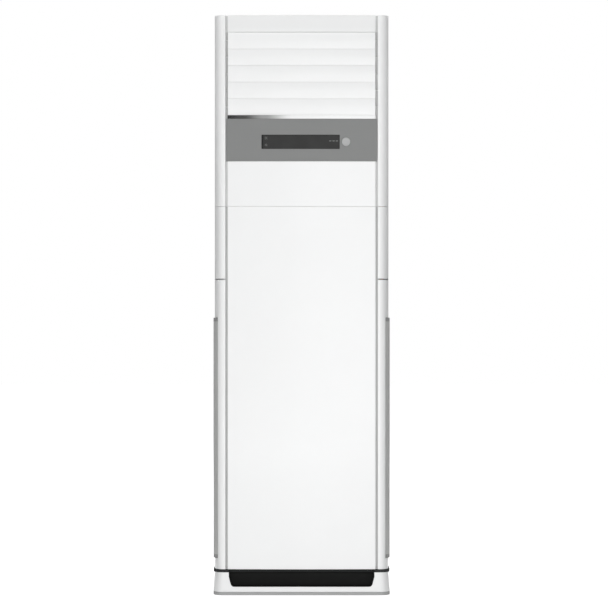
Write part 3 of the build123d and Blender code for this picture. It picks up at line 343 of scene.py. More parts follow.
def make_finishes(colours):
    """Every finish of the cabinet, by the record's slot name."""
    grey_plastic = (0.55, 0.555, 0.55)
    FINISHES.update(
        white_gloss=moulded("white_moulding", colours.white, 0.3, coat=0.15),
        white_base=moulded("white_base_moulding", shade(colours.white, 0.99), 0.34, coat=0.1),
        # The top band's darker colour is painted shade
        top_band=moulded("top_band_moulding", colours.band, 0.34, coat=0.1),
        white_sheet=painted("white_powder_coat", colours.sheet),
        control_grey=moulded("control_grey_moulding", colours.control, 0.45, grain=0.02),
        accent_band=painted_reflection_strip("accent_painted_reflection", colours.white),
        smoke_window=smoked("smoked_window", colours.window),
        button_silver=moulded("button_moulding", colours.button, 0.3, coat=0.2),
        board_green=circuit("solder_mask"),
        # Foot grey: partly the pan's own coat, partly painted shade
        base_steel=painted("foot_coat_and_painted_shade", colours.foot, 0.5),
        toe_black=moulded("toe_black_moulding", colours.toe, 0.6, grain=0.04, cloud=0.1, gloss=0.12),
        seal_rubber=moulded("seal_rubber", (0.03, 0.031, 0.031), 0.75, grain=0.05, cloud=0.1, gloss=0.2),
        # Grille grey: partly the moulding's own tone, partly painted shade
        grille_grey=moulded("grille_moulding_and_painted_shade", colours.grille, 0.5, grain=0.02),
        # Darker grille ends: painted shadow of the gaps at the grille's ends
        grille_end=moulded("grille_end_moulding", shade(colours.grille, 0.6), 0.5, grain=0.02),
        filter_blue=netting("filter_net", (0.16, 0.2, 0.24)),
        galvanised=galvanised("zinc_sheet"),
        wheel_plastic=moulded("wheel_moulding", grey_plastic, 0.5, grain=0.03),
        motor_black=painted("motor_coat", (0.03, 0.03, 0.034), 0.45),
        liner_grey=moulded("duct_liner", grey_plastic, 0.8, grain=0.12, cloud=0.04),
        vane_grey=moulded("vane_moulding", (0.6, 0.605, 0.6), 0.45),
        step_motor=drawn_metal("motor_can", (0.6, 0.6, 0.6), 0.3, (1.0, 1.0, 12.0)),
        fin_aluminium=finned("coil_fins_metal"),
        copper_tube=drawn_metal("copper", (0.8, 0.42, 0.27), 0.28, (1.0, 8.0, 1.0)),
        terminal_black=moulded("terminal_moulding", (0.02, 0.02, 0.02), 0.4),
        # Painted shade for the grooves and the louvre shafts across them, in a darker and a lighter grey
        seal_grey=moulded("groove_shade_paint", (0.48, 0.482, 0.48), 0.8, grain=0.06, cloud=0.02, gloss=0.3),
        seal_light=moulded("groove_shade_paint_light", (0.62, 0.622, 0.62), 0.8, grain=0.06, cloud=0.02, gloss=0.3),
        mark_grey=moulded("printed_mark", (0.2, 0.205, 0.2), 0.5),
        screw_steel=drawn_metal("screw_zinc", (0.62, 0.62, 0.6), 0.3, (6.0, 1.0, 6.0)),
        # Near black used as painted shade: in the gap round the window and in the screws' crosses
        dark_gap=moulded("dark_gap", (0.01, 0.01, 0.01), 0.9),
    )


# ------------------------------------------------------------------ modelling
def box(bm, low, high):
    """A block between two corners; its vertices."""
    low, high = Vector(low), Vector(high)
    matrix = Matrix.LocRotScale((low + high) / 2, None, high - low)
    return bmesh.ops.create_cube(bm, size=1.0, matrix=matrix)["verts"]


def boxes(*corners):
    """A new mesh with a block between each pair of corners."""
    bm = bmesh.new()
    for low, high in corners:
        box(bm, low, high)
    return bm


def bar(bm, start, end, radius, segments=28, tip=None):
    """A round bar or cone between two points; its vertices."""
    start, end = Vector(start), Vector(end)
    along = end - start
    matrix = Matrix.LocRotScale((start + end) / 2, along.to_track_quat("Z", "Y"), None)
    return bmesh.ops.create_cone(
        bm, cap_ends=True, cap_tris=False, segments=segments, radius1=radius,
        radius2=radius if tip is None else tip, depth=along.length, matrix=matrix,
    )["verts"]


def drawn_out(bm, faces):
    """Extrudes faces without moving them yet; the new vertices."""
    made = bmesh.ops.extrude_face_region(bm, geom=faces)["geom"]
    return [item for item in made if isinstance(item, bmesh.types.BMVert)]


def prism(bm, outline, along):
    """An outline made a face and drawn out along a vector; its vertices."""
    foot = [bm.verts.new(point) for point in outline]
    head = drawn_out(bm, [bm.faces.new(foot)])
    bmesh.ops.translate(bm, verts=head, vec=along)
    return foot + head


def turned(bm, centre, profile, steps):
    """A profile of radius and depth turned about an axis that runs from front to back."""
    verts = [bm.verts.new(centre + Vector((radius, depth, 0))) for radius, depth in profile]
    edges = [bm.edges.new(pair) for pair in zip(verts, verts[1:])]
    bmesh.ops.spin(bm, geom=verts + edges, cent=centre, axis=DEEP, angle=FULL_TURN, steps=steps,
                   use_merge=True, use_duplicate=False)


def bevelled(bm, edges, radius, segments, clamp=False):
    """Rounds edges; the vertices of the rounding."""
    return bmesh.ops.bevel(bm, geom=edges, offset=radius, offset_type="OFFSET", segments=segments,
                           profile=0.5, affect="EDGES", material=-1, clamp_overlap=clamp)["verts"]


def round_off(bm, verts, along, radius, segments=8, near=None):
    """Rounds the edges among some vertices that run along an axis, all or those near a point."""
    along = Vector(along)
    chosen, found = set(verts), []
    for edge in bm.edges:
        start, end = edge.verts[0].co, edge.verts[1].co
        if chosen.isdisjoint(edge.verts) or abs((end - start).normalized().dot(along)) < 0.999:
            continue
        away = (end + start) / 2 - Vector(near or (0, 0, 0))
        if near is None or (away - along * away.dot(along)).length <= MM / 10:
            found.append(edge)
    return bevelled(bm, found, radius, segments)


def round_deep(bm, radius, segments, near):
    """Rounds one upright edge with an arc that runs deeper than it is wide."""
    about = Matrix.Translation((0, -near[1], 0))
    bmesh.ops.scale(bm, vec=(1, 1 / CORNER_DEPTH_SHARE, 1), verts=bm.verts[:], space=about)
    round_off(bm, bm.verts[:], UP, radius, segments, near=near)
    bmesh.ops.scale(bm, vec=(1, CORNER_DEPTH_SHARE, 1), verts=bm.verts[:], space=about)


def handed(bm, hand):
    """The same mesh, which is turned into its left-hand twin if it is for the left."""
    if hand == "left":
        bmesh.ops.scale(bm, vec=(-1, 1, 1), verts=bm.verts[:])
        bmesh.ops.reverse_faces(bm, faces=bm.faces[:])
    return bm


def stored(bm, name):
    """A mesh with what was modelled."""
    mesh = bpy.data.meshes.new(name)
    bm.to_mesh(mesh)
    bm.free()
    return mesh


def placed(name, data):
    """A new object in the scene."""
    thing = bpy.data.objects.new(name, data)
    bpy.context.scene.collection.objects.link(thing)
    return thing


def smooth(mesh, sharp=SHARP):
    """Smooth shading, with the edges beyond an angle in degrees left sharp."""
    mesh.shade_smooth()
    mesh.set_sharp_from_angle(angle=math.radians(sharp))


def put(bm, name, slot, stands_for=(), edge=None, body="cabinet", finish=None, segments=2, sharp=SHARP):
    """A finished piece: closed mesh, soft edges, its body, and the slot's finish or another."""
    bmesh.ops.remove_doubles(bm, verts=bm.verts[:], dist=MM / 1000)
    bmesh.ops.recalc_face_normals(bm, faces=bm.faces[:])
    mesh = stored(bm, name)
    piece = placed(name, mesh)
    for key in finish if isinstance(finish, list) else [finish or slot]:
        mesh.materials.append(FINISHES[key])
    smooth(mesh, sharp)
    if edge:
        soften = piece.modifiers.new("Soft edges", "BEVEL")
        soften.width = edge
        soften.segments = segments
        soften.limit_method = "ANGLE"
        soften.angle_limit = math.radians(sharp)
        soften.harden_normals = True
        soften.use_clamp_overlap = True
    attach(piece, body)
    if stands_for:
        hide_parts(*stands_for)
    return piece


def cut_away(piece, bm):
    """Takes a closed cutter out of a piece and keeps the result as its mesh."""
    bmesh.ops.recalc_face_normals(bm, faces=bm.faces[:])
    tool = stored(bm, "cutter")
    cutter = placed("cutter", tool)
    others = [modifier for modifier in piece.modifiers if modifier.show_viewport]
    for modifier in others:
        modifier.show_viewport = False
    boolean = piece.modifiers.new("cut", "BOOLEAN")
    boolean.operation = "DIFFERENCE"
    boolean.solver = "EXACT"
    boolean.object = cutter
    depsgraph = bpy.context.evaluated_depsgraph_get()
    baked = bpy.data.meshes.new_from_object(piece.evaluated_get(depsgraph))
    piece.modifiers.remove(boolean)
    for modifier in others:
        modifier.show_viewport = True
    old = piece.data
    name = old.name
    piece.data = baked
    bpy.data.meshes.remove(old)
    baked.name = name
    bpy.data.objects.remove(cutter)
    bpy.data.meshes.remove(tool)
    smooth(baked)


def loop_cut(bm, place, across, trim=False):
    """Cuts the whole mesh along a plane, and with trim closes it there and drops what lies beyond."""
    cut = bmesh.ops.bisect_plane(bm, geom=bm.verts[:] + bm.edges[:] + bm.faces[:], plane_co=place,
                                 plane_no=across, clear_outer=trim)["geom_cut"]
    if trim:
        bmesh.ops.edgenet_fill(bm, edges=[item for item in cut if isinstance(item, bmesh.types.BMEdge)])


def softened(node, name, slot, edge, trim=None, finish=None):
    """A merged copy of a CAD node with its flat faces joined, a corner trimmed and its edges softened."""
    bm = bmesh.new()
    bm.from_mesh(bpy.data.objects[node].data)
    bmesh.ops.remove_doubles(bm, verts=bm.verts[:], dist=MM / 100)
    bmesh.ops.dissolve_limit(bm, angle_limit=math.radians(0.2), verts=bm.verts[:], edges=bm.edges[:])
    if trim:
        loop_cut(bm, *trim, trim=True)
    body = body_of(bpy.data.objects[node])[0]
    return put(bm, name, slot, [node], edge, body, finish)


def crown_at(x, inset=0.0):
    """Depth of the crowned front at x."""
    return CROWN_CENTRE - math.sqrt((CROWN_RADIUS - inset) ** 2 - x**2)


def crowned_block(half, low, high, back, inset=0.0, pocket=0.0):
    """A new block with a crowned front; a pocket leaves a wall round an open back."""
    bm = bmesh.new()
    upright = Matrix.Rotation(math.pi / 2, 3, "X")
    matrix = Matrix.LocRotScale((0, 0, (low + high) / 2), upright, (half, (high - low) / 2, 1))
    for vert in bmesh.ops.create_grid(bm, x_segments=28, y_segments=1, size=1.0, matrix=matrix)["verts"]:
        vert.co.y = crown_at(vert.co.x, inset)
    for vert in drawn_out(bm, bm.faces[:]):
        vert.co.y = back
    bmesh.ops.recalc_face_normals(bm, faces=bm.faces[:])
    if pocket:
        rear = [face for face in bm.faces if face.normal.y > 0.99]
        bmesh.ops.inset_region(bm, faces=rear, thickness=WALL, use_even_offset=True, use_boundary=True)
        bmesh.ops.translate(bm, verts=drawn_out(bm, rear), vec=(0, -pocket, 0))
    return bm


def pan_head(bm, at, radius):
    """A cross-recessed pan head on a surface that faces the rear: its dome, and blades for the cross, dark
    with painted shade of the recess.
    """
    at, out = Vector(at), Vector(DEEP)
    bar(bm, at, at + out * radius * 0.25, radius, 20)
    bar(bm, at + out * radius * 0.25, at + out * radius * 0.5, radius, 20, tip=radius * 0.72)
    top = at + out * radius * 0.5
    # The cross's blades take the second, near-black finish: painted shade of the recess
    for wide, tall in ((0.1, 0.5), (0.5, 0.1)):
        reach = Vector((wide, 0.03, tall)) * radius
        for face in {face for vert in box(bm, top - reach, top + reach) for face in vert.link_faces}:
            face.material_index = 1


# ------------------------------------------------------------------ operators
class CabinetOperator:
    """What the cabinet's operators share."""

    bl_options = {"REGISTER", "UNDO"}

    @property
    def sizes(self):
        return bpy.context.scene.cabinet_sizes

    @property
    def colours(self):
        return bpy.context.scene.cabinet_colours


class CABINET_OT_finishes(CabinetOperator, bpy.types.Operator):
    """Make every finish and give the CAD pieces theirs"""

    bl_idname = "cabinet.finishes"
    bl_label = "Finishes"

    def execute(self, context):
        make_finishes(self.colours)
        slots = {row["node"]: row["material_slot"] for row in frame["record"]["subparts"]}
        for node, slot in slots.items():
            piece = bpy.data.objects[node]
            for holder in piece.material_slots:
                holder.link = "OBJECT"
                holder.material = FINISHES[slot]
        return {"FINISHED"}


class CABINET_OT_front_panels(CabinetOperator, bpy.types.Operator):
    """Model the lower panel, the upper fascia and the top band as crowned mouldings"""

    bl_idname = "cabinet.front_panels"
    bl_label = "Front panels"

    def execute(self, context):
        overlap = 0.2 * MM
        for node, name, down, up in (
            ("lower_front_panel", "lower_panel_moulding", 0.0, overlap),
            ("upper_fascia", "fascia_moulding", overlap, 0.0),
        ):
            low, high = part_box(node)
            bm = crowned_block(high.x, low.z - down, high.z + up, high.y, pocket=POCKET)
            put(bm, name, "white_gloss", [node], edge=self.sizes.panel_edge)
        low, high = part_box("top_cap")
        bm = crowned_block(PANEL_HIGH.x, low.z - 0.3 * MM, high.z, PANEL_HIGH.y, pocket=POCKET)
        # The band's darker finish is painted shade
        put(bm, "top_band_moulding", "white_gloss", edge=self.sizes.moulded_edge, finish="top_band")
        self.lid(high)
        return {"FINISHED"}

    def lid(self, high):
        """The flat lid behind the band, stepped round the columns' tops, with a sunk field."""
        gap, under = 0.3 * MM, high.z - 6 * MM
        column_back = COLUMN_HIGH.y + gap
        seat, side = COLUMN_LOW.x - gap, COLUMN_IN - gap
        right = [
            (seat, PANEL_HIGH.y + 0.1 * MM), (seat, FLANGE_BACK + gap), (side, FLANGE_BACK + gap),
            (side, column_back), (high.x, column_back), (high.x, high.y),
        ]
        outline = [(x, y, under) for x, y in right] + [(-x, y, under) for x, y in reversed(right)]
        bm = bmesh.new()
        prism(bm, outline, (0, 0, high.z - under))
        lid = put(bm, "top_lid", "white_gloss", ["top_cap"], edge=self.sizes.moulded_edge)
        border, sunk = 18 * MM, 1.2 * MM
        bm = boxes(((border - side, column_back + border, high.z - sunk),
                    (side - border, high.y - border, high.z + border)))
        round_off(bm, bm.verts[:], UP, CORNER, 10)
        cut_away(lid, bm)


class CABINET_OT_columns(CabinetOperator, bpy.types.Operator):
    """Model the corner posts, the middle columns and the upper columns"""

    bl_idname = "cabinet.columns"
    bl_label = "Columns"

    def execute(self, context):
        self.groove_shade_strips()
        for hand in HANDS:
            self.post(hand)
            low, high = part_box("mid_columns")
            self.column("mid_column", hand, "mid_columns", low.z, high.z)
            self.upper(hand)
        return {"FINISHED"}

    def groove_shade_strips(self):
        """Strips that close the grooves between the panels and the columns; their grey is painted shade,
        lighter beside the fascia and the top band.
        """
        bm = bmesh.new()
        near, far = PANEL_HIGH.x + 0.5 * MM, COLUMN_IN - 0.2 * MM
        for x0, x1 in ((-far, -near), (near, far)):
            box(bm, (x0, FLANGE_FRONT - MM, PANEL_LOW.z + MM),
                (x1, FLANGE_FRONT + MM / 2, COLUMN_HIGH.z - MM))
        fascia_low, fascia_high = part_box("upper_fascia")
        band_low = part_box("top_cap")[0]
        for mark in (fascia_low, fascia_high, band_low):
            loop_cut(bm, mark, UP)
        # Painted shade: the lighter grey beside the fascia and the top band, the darker grey elsewhere
        for face in bm.faces:
            middle = face.calc_center_median().z
            face.material_index = int(fascia_low.z < middle < fascia_high.z or middle > band_low.z)
        put(bm, "groove_painted_shade_strips", "seal_rubber", finish=["seal_grey", "seal_light"])

    def column(self, name, hand, node, low, high, cuts=()):
        """A column's section, drawn up between two heights and cut across at others."""
        side, front, back = COLUMN_HIGH.x, COLUMN_LOW.y, COLUMN_HIGH.y
        inner = COLUMN_IN + WALL
        outline = [
            (side, front), (COLUMN_IN, front), (COLUMN_IN, FLANGE_FRONT), (COLUMN_LOW.x, FLANGE_FRONT),
            (COLUMN_LOW.x, FLANGE_BACK), (inner, FLANGE_BACK), (inner, front + WALL),
            (side - WALL, front + WALL), (side - WALL, back), (side, back),
        ]
        bm = bmesh.new()
        prism(bm, [(x, y, low) for x, y in outline], (0, 0, high - low))
        round_deep(bm, COLUMN_CORNER, 20, near=(side, front, low))
        round_deep(bm, COLUMN_CORNER - WALL, 12, near=(side - WALL, front + WALL, low))
        round_off(bm, bm.verts[:], UP, 1.2 * MM, 4, near=(COLUMN_IN, front, low))
        for height in cuts:
            loop_cut(bm, (0, 0, height), UP)
        return put(handed(bm, hand), f"{name}_moulding_{hand}", "white_gloss", [node],
                   edge=self.sizes.moulded_edge)

    def post(self, hand):
        """A corner post, opened for its grille, and the walls of the pocket behind the opening."""
        bottom, top = GRILLE_LOW.z - 0.3 * MM, GRILLE_HIGH.z + 0.3 * MM
        pocket, beyond = GRILLE_LOW.x - 0.5 * MM, 300 * MM
        post = self.column("corner_post", hand, f"corner_post_{hand}", POST_LOW.z, POST_HIGH.z - 2 * MM,
                           cuts=(bottom - WALL, top + WALL))
        cut_away(post, handed(boxes(((pocket, -beyond, bottom), (beyond, beyond, top))), hand))
        side, back = POST_HIGH.x - WALL / 2, COLUMN_HIGH.y + MM
        bm = boxes(
            ((pocket - WALL, COLUMN_LOW.y + 10 * MM, bottom - WALL), (pocket, back, top + WALL)),
            ((pocket, COLUMN_TURN, bottom - WALL), (side, back, bottom)),
            ((pocket, COLUMN_TURN, top), (side, back, top + WALL)),
        )
        put(handed(bm, hand), f"corner_post_pocket_{hand}", "white_gloss")

    def upper(self, hand):
        """An upper column, its flange cut back beside the louvres, and its lid."""
        upper = self.column("upper_column", hand, f"upper_column_{hand}", COLUMN_LOW.z, COLUMN_HIGH.z)
        bottom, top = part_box("control_panel")[1].z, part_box("louvre_5")[1].z + 0.5 * MM
        notch = ((COLUMN_LOW.x - MM, FLANGE_FRONT - MM, bottom), (226.5 * MM, FLANGE_BACK + MM, top))
        cut_away(upper, handed(boxes(notch), hand))
        gap = 0.6 * MM
        side, front, head = COLUMN_HIGH.x - gap, COLUMN_LOW.y + gap, COLUMN_HIGH.z
        bm = boxes(((COLUMN_IN + gap, front, head - WALL), (side, COLUMN_HIGH.y - 0.1 * MM, head - 0.1 * MM)))
        round_deep(bm, COLUMN_CORNER - gap, 20, near=(side, front, 0))
        put(handed(bm, hand), f"upper_column_lid_{hand}", "white_gloss",
            edge=self.sizes.folded_edge)


class CABINET_OT_control_panel(CabinetOperator, bpy.types.Operator):
    """Model the control panel, its window with marks, the power button and the accent strip"""

    bl_idname = "cabinet.control_panel"
    bl_label = "Control panel"

    def execute(self, context):
        low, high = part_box("control_panel")
        panel = put(crowned_block(high.x, low.z, high.z, high.y, pocket=POCKET), "control_panel_moulding",
                    "control_grey", ["control_panel"], edge=self.sizes.moulded_edge)
        gap, before, behind = 0.4 * MM, -210 * MM, -170 * MM
        low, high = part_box("display_window")
        bm = boxes(((low.x - gap, before, low.z - gap), (high.x + gap, behind, high.z + gap)))
        round_off(bm, bm.verts[:], DEEP, 2 * MM, 5)
        cut_away(panel, bm)
        button_low, button_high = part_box("power_button")
        x, z = (button_low.x + button_high.x) / 2, (button_low.z + button_high.z) / 2
        radius = (button_high.x - button_low.x) / 2
        bm = bmesh.new()
        bar(bm, (x, before, z), (x, behind, z), radius + gap, 64)
        cut_away(panel, bm)
        self.window(low, high, 0.95 * gap)
        self.marks()
        self.button(Vector((x, 0, z)), radius, button_low.y, button_high.y)
        low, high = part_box("accent_strip")
        # The accent strip's dark-to-white colour is painted shade and reflection
        put(crowned_block(high.x, low.z, high.z, high.y), "accent_strip_painted_reflection", "accent_band",
            ["accent_strip"], edge=0.6 * MM)
        return {"FINISHED"}

    def window(self, low, high, rim):
        """The window's lens, cut to its width, and a dark sheet behind it that fills the gap round it with
        painted shade.
        """
        spare = 3 * MM
        bm = crowned_block(high.x + spare, low.z, high.z, high.y, inset=WINDOW_INSET)
        lens = put(bm, "display_window_lens", "smoke_window", ["display_window"],
                   edge=0.5 * MM, segments=3)
        front, back, beyond, past = -220 * MM, -160 * MM, 300 * MM, 11 * MM
        cut_away(lens, boxes(
            ((-beyond, front, low.z - past), (low.x, back, high.z + past)),
            ((high.x, front, low.z - past), (beyond, back, high.z + past)),
        ))
        gap_shade_sheet = boxes(((low.x - rim, high.y + 0.02 * MM, low.z - rim),
                      (high.x + rim, high.y + 0.2 * MM, high.z + rim)))
        put(gap_shade_sheet, "window_gap_painted_shade", "smoke_window", finish="dark_gap")

    def marks(self):
        """Small generic marks on the window's face: two rings with rays, and three short bars."""
        bm = bmesh.new()
        lift, x, radius, rim = 0.08 * MM, -108.4 * MM, 2.6 * MM, 0.8 * MM
        root, half_ray = 3.6 * MM, 0.35 * MM
        for z, tip in ((1395.0 * MM, 5.4 * MM), (1374.0 * MM, 4.6 * MM)):
            at = Vector((x, crown_at(x, WINDOW_INSET) - lift, z))
            ring = bmesh.ops.create_circle(
                bm, cap_ends=True, segments=24, radius=radius,
                matrix=Matrix.LocRotScale(at, Matrix.Rotation(math.pi / 2, 3, "X"), None),
            )["verts"]
            disc = ring[0].link_faces[0]
            bmesh.ops.inset_region(bm, faces=[disc], thickness=rim, use_boundary=True)
            bmesh.ops.delete(bm, geom=[disc], context="FACES")
            for step in range(8):
                angle = step * math.pi / 4
                ray = Vector((math.cos(angle), 0, math.sin(angle)))
                half = Vector((-ray.z, 0, ray.x)) * half_ray
                inner, outer = at + ray * root, at + ray * tip
                corners = (inner - half, outer - half, outer + half, inner + half)
                bm.faces.new([bm.verts.new(corner) for corner in corners])
        under, over = 1384.9 * MM, 1387.1 * MM
        for start in (84 * MM, 94 * MM, 104 * MM):
            y, end = crown_at(start, WINDOW_INSET) - lift, start + 7 * MM
            corners = ((start, under), (end, under), (end, over), (start, over))
            bm.faces.new([bm.verts.new((x, y, z)) for x, z in corners])
        bmesh.ops.translate(bm, verts=drawn_out(bm, bm.faces[:]), vec=(0, 0.05 * MM, 0))
        put(bm, "display_marks", "smoke_window", finish="mark_grey")

    def button(self, centre, radius, front, back):
        """The button's cap, turned from a profile with a soft rim and a shallow dish, and its two clips."""
        skirt, rear = radius - 0.1 * MM, back - 0.3 * MM
        profile = [
            (0.0, front + 0.5 * MM), (radius * 0.55, front + 0.38 * MM), (radius * 0.86, front + 0.08 * MM),
            (radius * 0.93, front), (radius * 0.98, front + 0.2 * MM), (skirt, front + 0.6 * MM),
            (skirt, rear), (0.0, rear),
        ]
        bm = bmesh.new()
        turned(bm, centre, profile, 72)
        reach, root = radius + 2 * MM, radius - MM
        for foot, head in ((-reach, -root), (root, reach)):
            box(bm, (centre.x - radius / 2, back - 1.5 * MM, centre.z + foot),
                (centre.x + radius / 2, back, centre.z + head))
        put(bm, "power_button_cap", "button_silver", ["power_button"],
            body="power_button", sharp=50.0)


class CABINET_OT_louvres(CabinetOperator, bpy.types.Operator):
    """Model the five louvre slats with their shafts, cranks and link"""

    bl_idname = "cabinet.louvres"
    bl_label = "Louvres"

    def execute(self, context):
        low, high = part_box("louvre_link")
        for row in range(1, 6):
            self.louvre(row, high.x + 0.4 * MM)
        bm = boxes((low, high))
        round_off(bm, bm.verts[:], ACROSS, 4.4 * MM, 6)
        put(bm, "louvre_link_bar", "vane_grey", ["louvre_link"], edge=0.3 * MM, body="louvre_link")
        return {"FINISHED"}

    def louvre(self, row, crank):
        """A slat with its shafts, the crank's arm and pin, and five ribs along its back."""
        node = f"louvre_{row}"
        low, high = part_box(node)
        y, z = -180 * MM, (low.z + high.z) / 2
        half, chord = 225.2 * MM, (high.z - low.z) / 2 + 0.3 * MM
        bulge, face, back, core, spine = -2.9 * MM, -2 * MM, -0.5 * MM, 2 * MM, 4.5 * MM
        outline = [
            (face, -chord), (bulge, -chord / 2), (face - 1.2 * MM, 0.0), (bulge, chord / 2), (face, chord),
            (back, chord), (core, spine), (core, -spine), (back, -chord),
        ]
        bm = bmesh.new()
        prism(bm, [(-half, y + depth, z + rise) for depth, rise in outline], (2 * half, 0, 0))
        shafts = bar(bm, (crank, y, z), (MM - half, y, z), 3 * MM)
        shafts += bar(bm, (half - MM, y, z), (high.x, y, z), 3 * MM)
        # The shafts across the groove take the groove's darker painted shade
        for side in {side for vert in shafts for side in vert.link_faces}:
            side.material_index = 1
        arm = box(bm, (crank, y - spine, z - spine), (crank + 2.5 * MM, y + 22.5 * MM, z + spine))
        round_off(bm, arm, ACROSS, 4.4 * MM, 6)
        pin = y + 18 * MM
        bar(bm, (low.x, pin, z), (crank + MM, pin, z), 2 * MM, 20)
        rib, thick = [(1.8, -6), (1.8, 6), (-0.6, 20), (-0.8, 20), (-0.8, -20), (-0.6, -20)], 1.2 * MM
        for step in range(-2, 3):
            x = step * 75 * MM - thick / 2
            prism(bm, [(x, y + depth * MM, z + rise * MM) for depth, rise in rib], (thick, 0, 0))
        put(bm, f"louvre_slat_{row}", "white_gloss", [node], 0.45 * MM, node,
            finish=["white_gloss", "seal_grey"], sharp=30.0)


class CABINET_OT_side_grilles(CabinetOperator, bpy.types.Operator):
    """Model the side grilles with their slats, and the filters behind them"""

    bl_idname = "cabinet.side_grilles"
    bl_label = "Side grilles"

    def execute(self, context):
        for hand in HANDS:
            self.grille(hand, f"side_grille_{hand}")
            self.filter(hand, f"side_grille_{hand}")
        return {"FINISHED"}

    def grille(self, hand, body):
        """A grille's skin with its rounded lip and six bays, and the slats in the bays."""
        low, high = GRILLE_LOW, GRILLE_HIGH
        foot, head = low.z + 1.2 * MM, high.z - 1.2 * MM
        start, end = POST_HIGH.x - COLUMN_CORNER, 11 * MM
        radius, inside, hem = high.x - start, high.x - WALL, high.x - end
        front = COLUMN_TURN - radius * CORNER_DEPTH_SHARE
        outline = [
            (start, front), (high.x, front), (high.x, high.y), (hem, high.y), (hem, high.y - WALL),
            (inside, high.y - WALL), (inside, front + WALL), (start, front + WALL),
        ]
        bm = bmesh.new()
        prism(bm, [(x, y, foot) for x, y in outline], (0, 0, head - foot))
        round_deep(bm, radius - MM / 100, 24, near=(high.x, front, 0))
        round_deep(bm, radius - WALL - MM / 100, 20, near=(inside, front + WALL, 0))
        bmesh.ops.bisect_plane(bm, geom=bm.verts[:] + bm.edges[:] + bm.faces[:], plane_co=(low.x, 0, 0),
                               plane_no=ACROSS, clear_inner=True)
        bmesh.ops.holes_fill(bm, edges=[edge for edge in bm.edges if edge.is_boundary])
        for level in (foot + end, head - end):
            loop_cut(bm, (0, 0, level), UP)
        # The lip's faces near the ends take the darker second finish: painted shadow of the gaps there
        for face in bm.faces:
            middle = face.calc_center_median()
            if middle.y < COLUMN_TURN and not foot + end < middle.z < head - end:
                face.material_index = 1
        for z0, z1 in ((foot, foot + WALL), (head - WALL, head)):
            box(bm, (hem, COLUMN_TURN, z0), (high.x - WALL / 2, high.y - WALL / 2, z1))
        skin = put(handed(bm, hand), f"side_grille_skin_{hand}", "grille_grey", [body],
                   self.sizes.moulded_edge, body, finish=["grille_grey", "grille_end"])
        count, bridge = 6, 9 * MM
        pitch = (high.z - low.z) / count
        seams = [low.z + bay * pitch for bay in range(count + 1)]
        bays = [(under + bridge / 2, over - bridge / 2) for under, over in zip(seams, seams[1:])]
        y0, y1 = -145.5 * MM, high.y - 15.5 * MM
        bm = bmesh.new()
        for z0, z1 in bays:
            opening = box(bm, (high.x - 8 * MM, y0, z0), (high.x + 5 * MM, y1, z1))
            round_off(bm, opening, ACROSS, 2.5 * MM, 4)
        cut_away(skin, handed(bm, hand))
        self.dents(skin, hand, seams[1:-1], start, radius)
        self.slats(hand, body, bays, y0, y1)

    def dents(self, skin, hand, seams, start, radius):
        """Shallow dents in the rounded lip, one beside each bridge between two bays."""
        bm = bmesh.new()
        first, pitch, deep, tall = 1.4 * MM, 0.9 * MM, 1.6 * MM, 14 * MM
        run = []
        for step in range(5):
            x = GRILLE_LOW.x + first + step * pitch
            run.append((x, COLUMN_TURN - CORNER_DEPTH_SHARE * math.sqrt(radius**2 - (x - start) ** 2)))
        for z in seams:
            foot = z - tall / 2
            prism(bm, [(x, y - MM, foot) for x, y in run] + [(x, y + deep, foot) for x, y in reversed(run)],
                  (0, 0, tall))
        cut_away(skin, handed(bm, hand))

    def slats(self, hand, body, bays, y0, y1):
        """Upright slats in every bay, tied by two thin cross bars."""
        side, width = GRILLE_HIGH.x, self.sizes.slat_width
        count = int((y1 - y0) / self.sizes.slat_pitch)
        step = (y1 - y0) / count
        bm = bmesh.new()
        for under, over in bays:
            z0, z1 = under - MM, over + MM
            for index in range(1, count):
                y = y0 + index * step
                prism(bm, [(side - 2.6 * MM, y - width / 2, z0), (side - 0.7 * MM, y - width / 3, z0),
                           (side - 0.7 * MM, y + width / 3, z0), (side - 2.6 * MM, y + width / 2, z0)],
                      (0, 0, z1 - z0))
            middle, away = (z0 + z1) / 2, (z1 - z0) / 6
            for z in (middle - away, middle + away):
                box(bm, (side - 2.9 * MM, y0 - MM, z - 0.8 * MM), (side - 1.8 * MM, y1 + MM, z + 0.8 * MM))
        put(handed(bm, hand), f"side_grille_slats_{hand}", "grille_grey", body=body)

    def filter(self, hand, body):
        """The filter's frame with its cross bars, and its net."""
        node = f"air_filter_{hand}"
        low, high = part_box("air_filter_right")
        edge, bays, lap = 9 * MM, 6, 0.05 * MM
        front, back = low.y + edge / 2, high.y - edge / 2
        bm = boxes(*(((low.x, y, low.z), (high.x, y + edge, high.z)) for y in (low.y, high.y - edge)))
        for bay in range(bays + 1):
            z = low.z + bay * (high.z - low.z - edge) / bays
            box(bm, (low.x + lap, front, z), (high.x - lap, back, z + edge))
        put(handed(bm, hand), f"filter_frame_{hand}", "filter_blue", [node], 0.5 * MM, body,
            finish="terminal_black")
        bm = boxes(((low.x + MM, front, low.z + edge / 2), (low.x + 1.6 * MM, back, high.z - edge / 2)))
        put(handed(bm, hand), f"filter_net_{hand}", "filter_blue", [node], body=body)


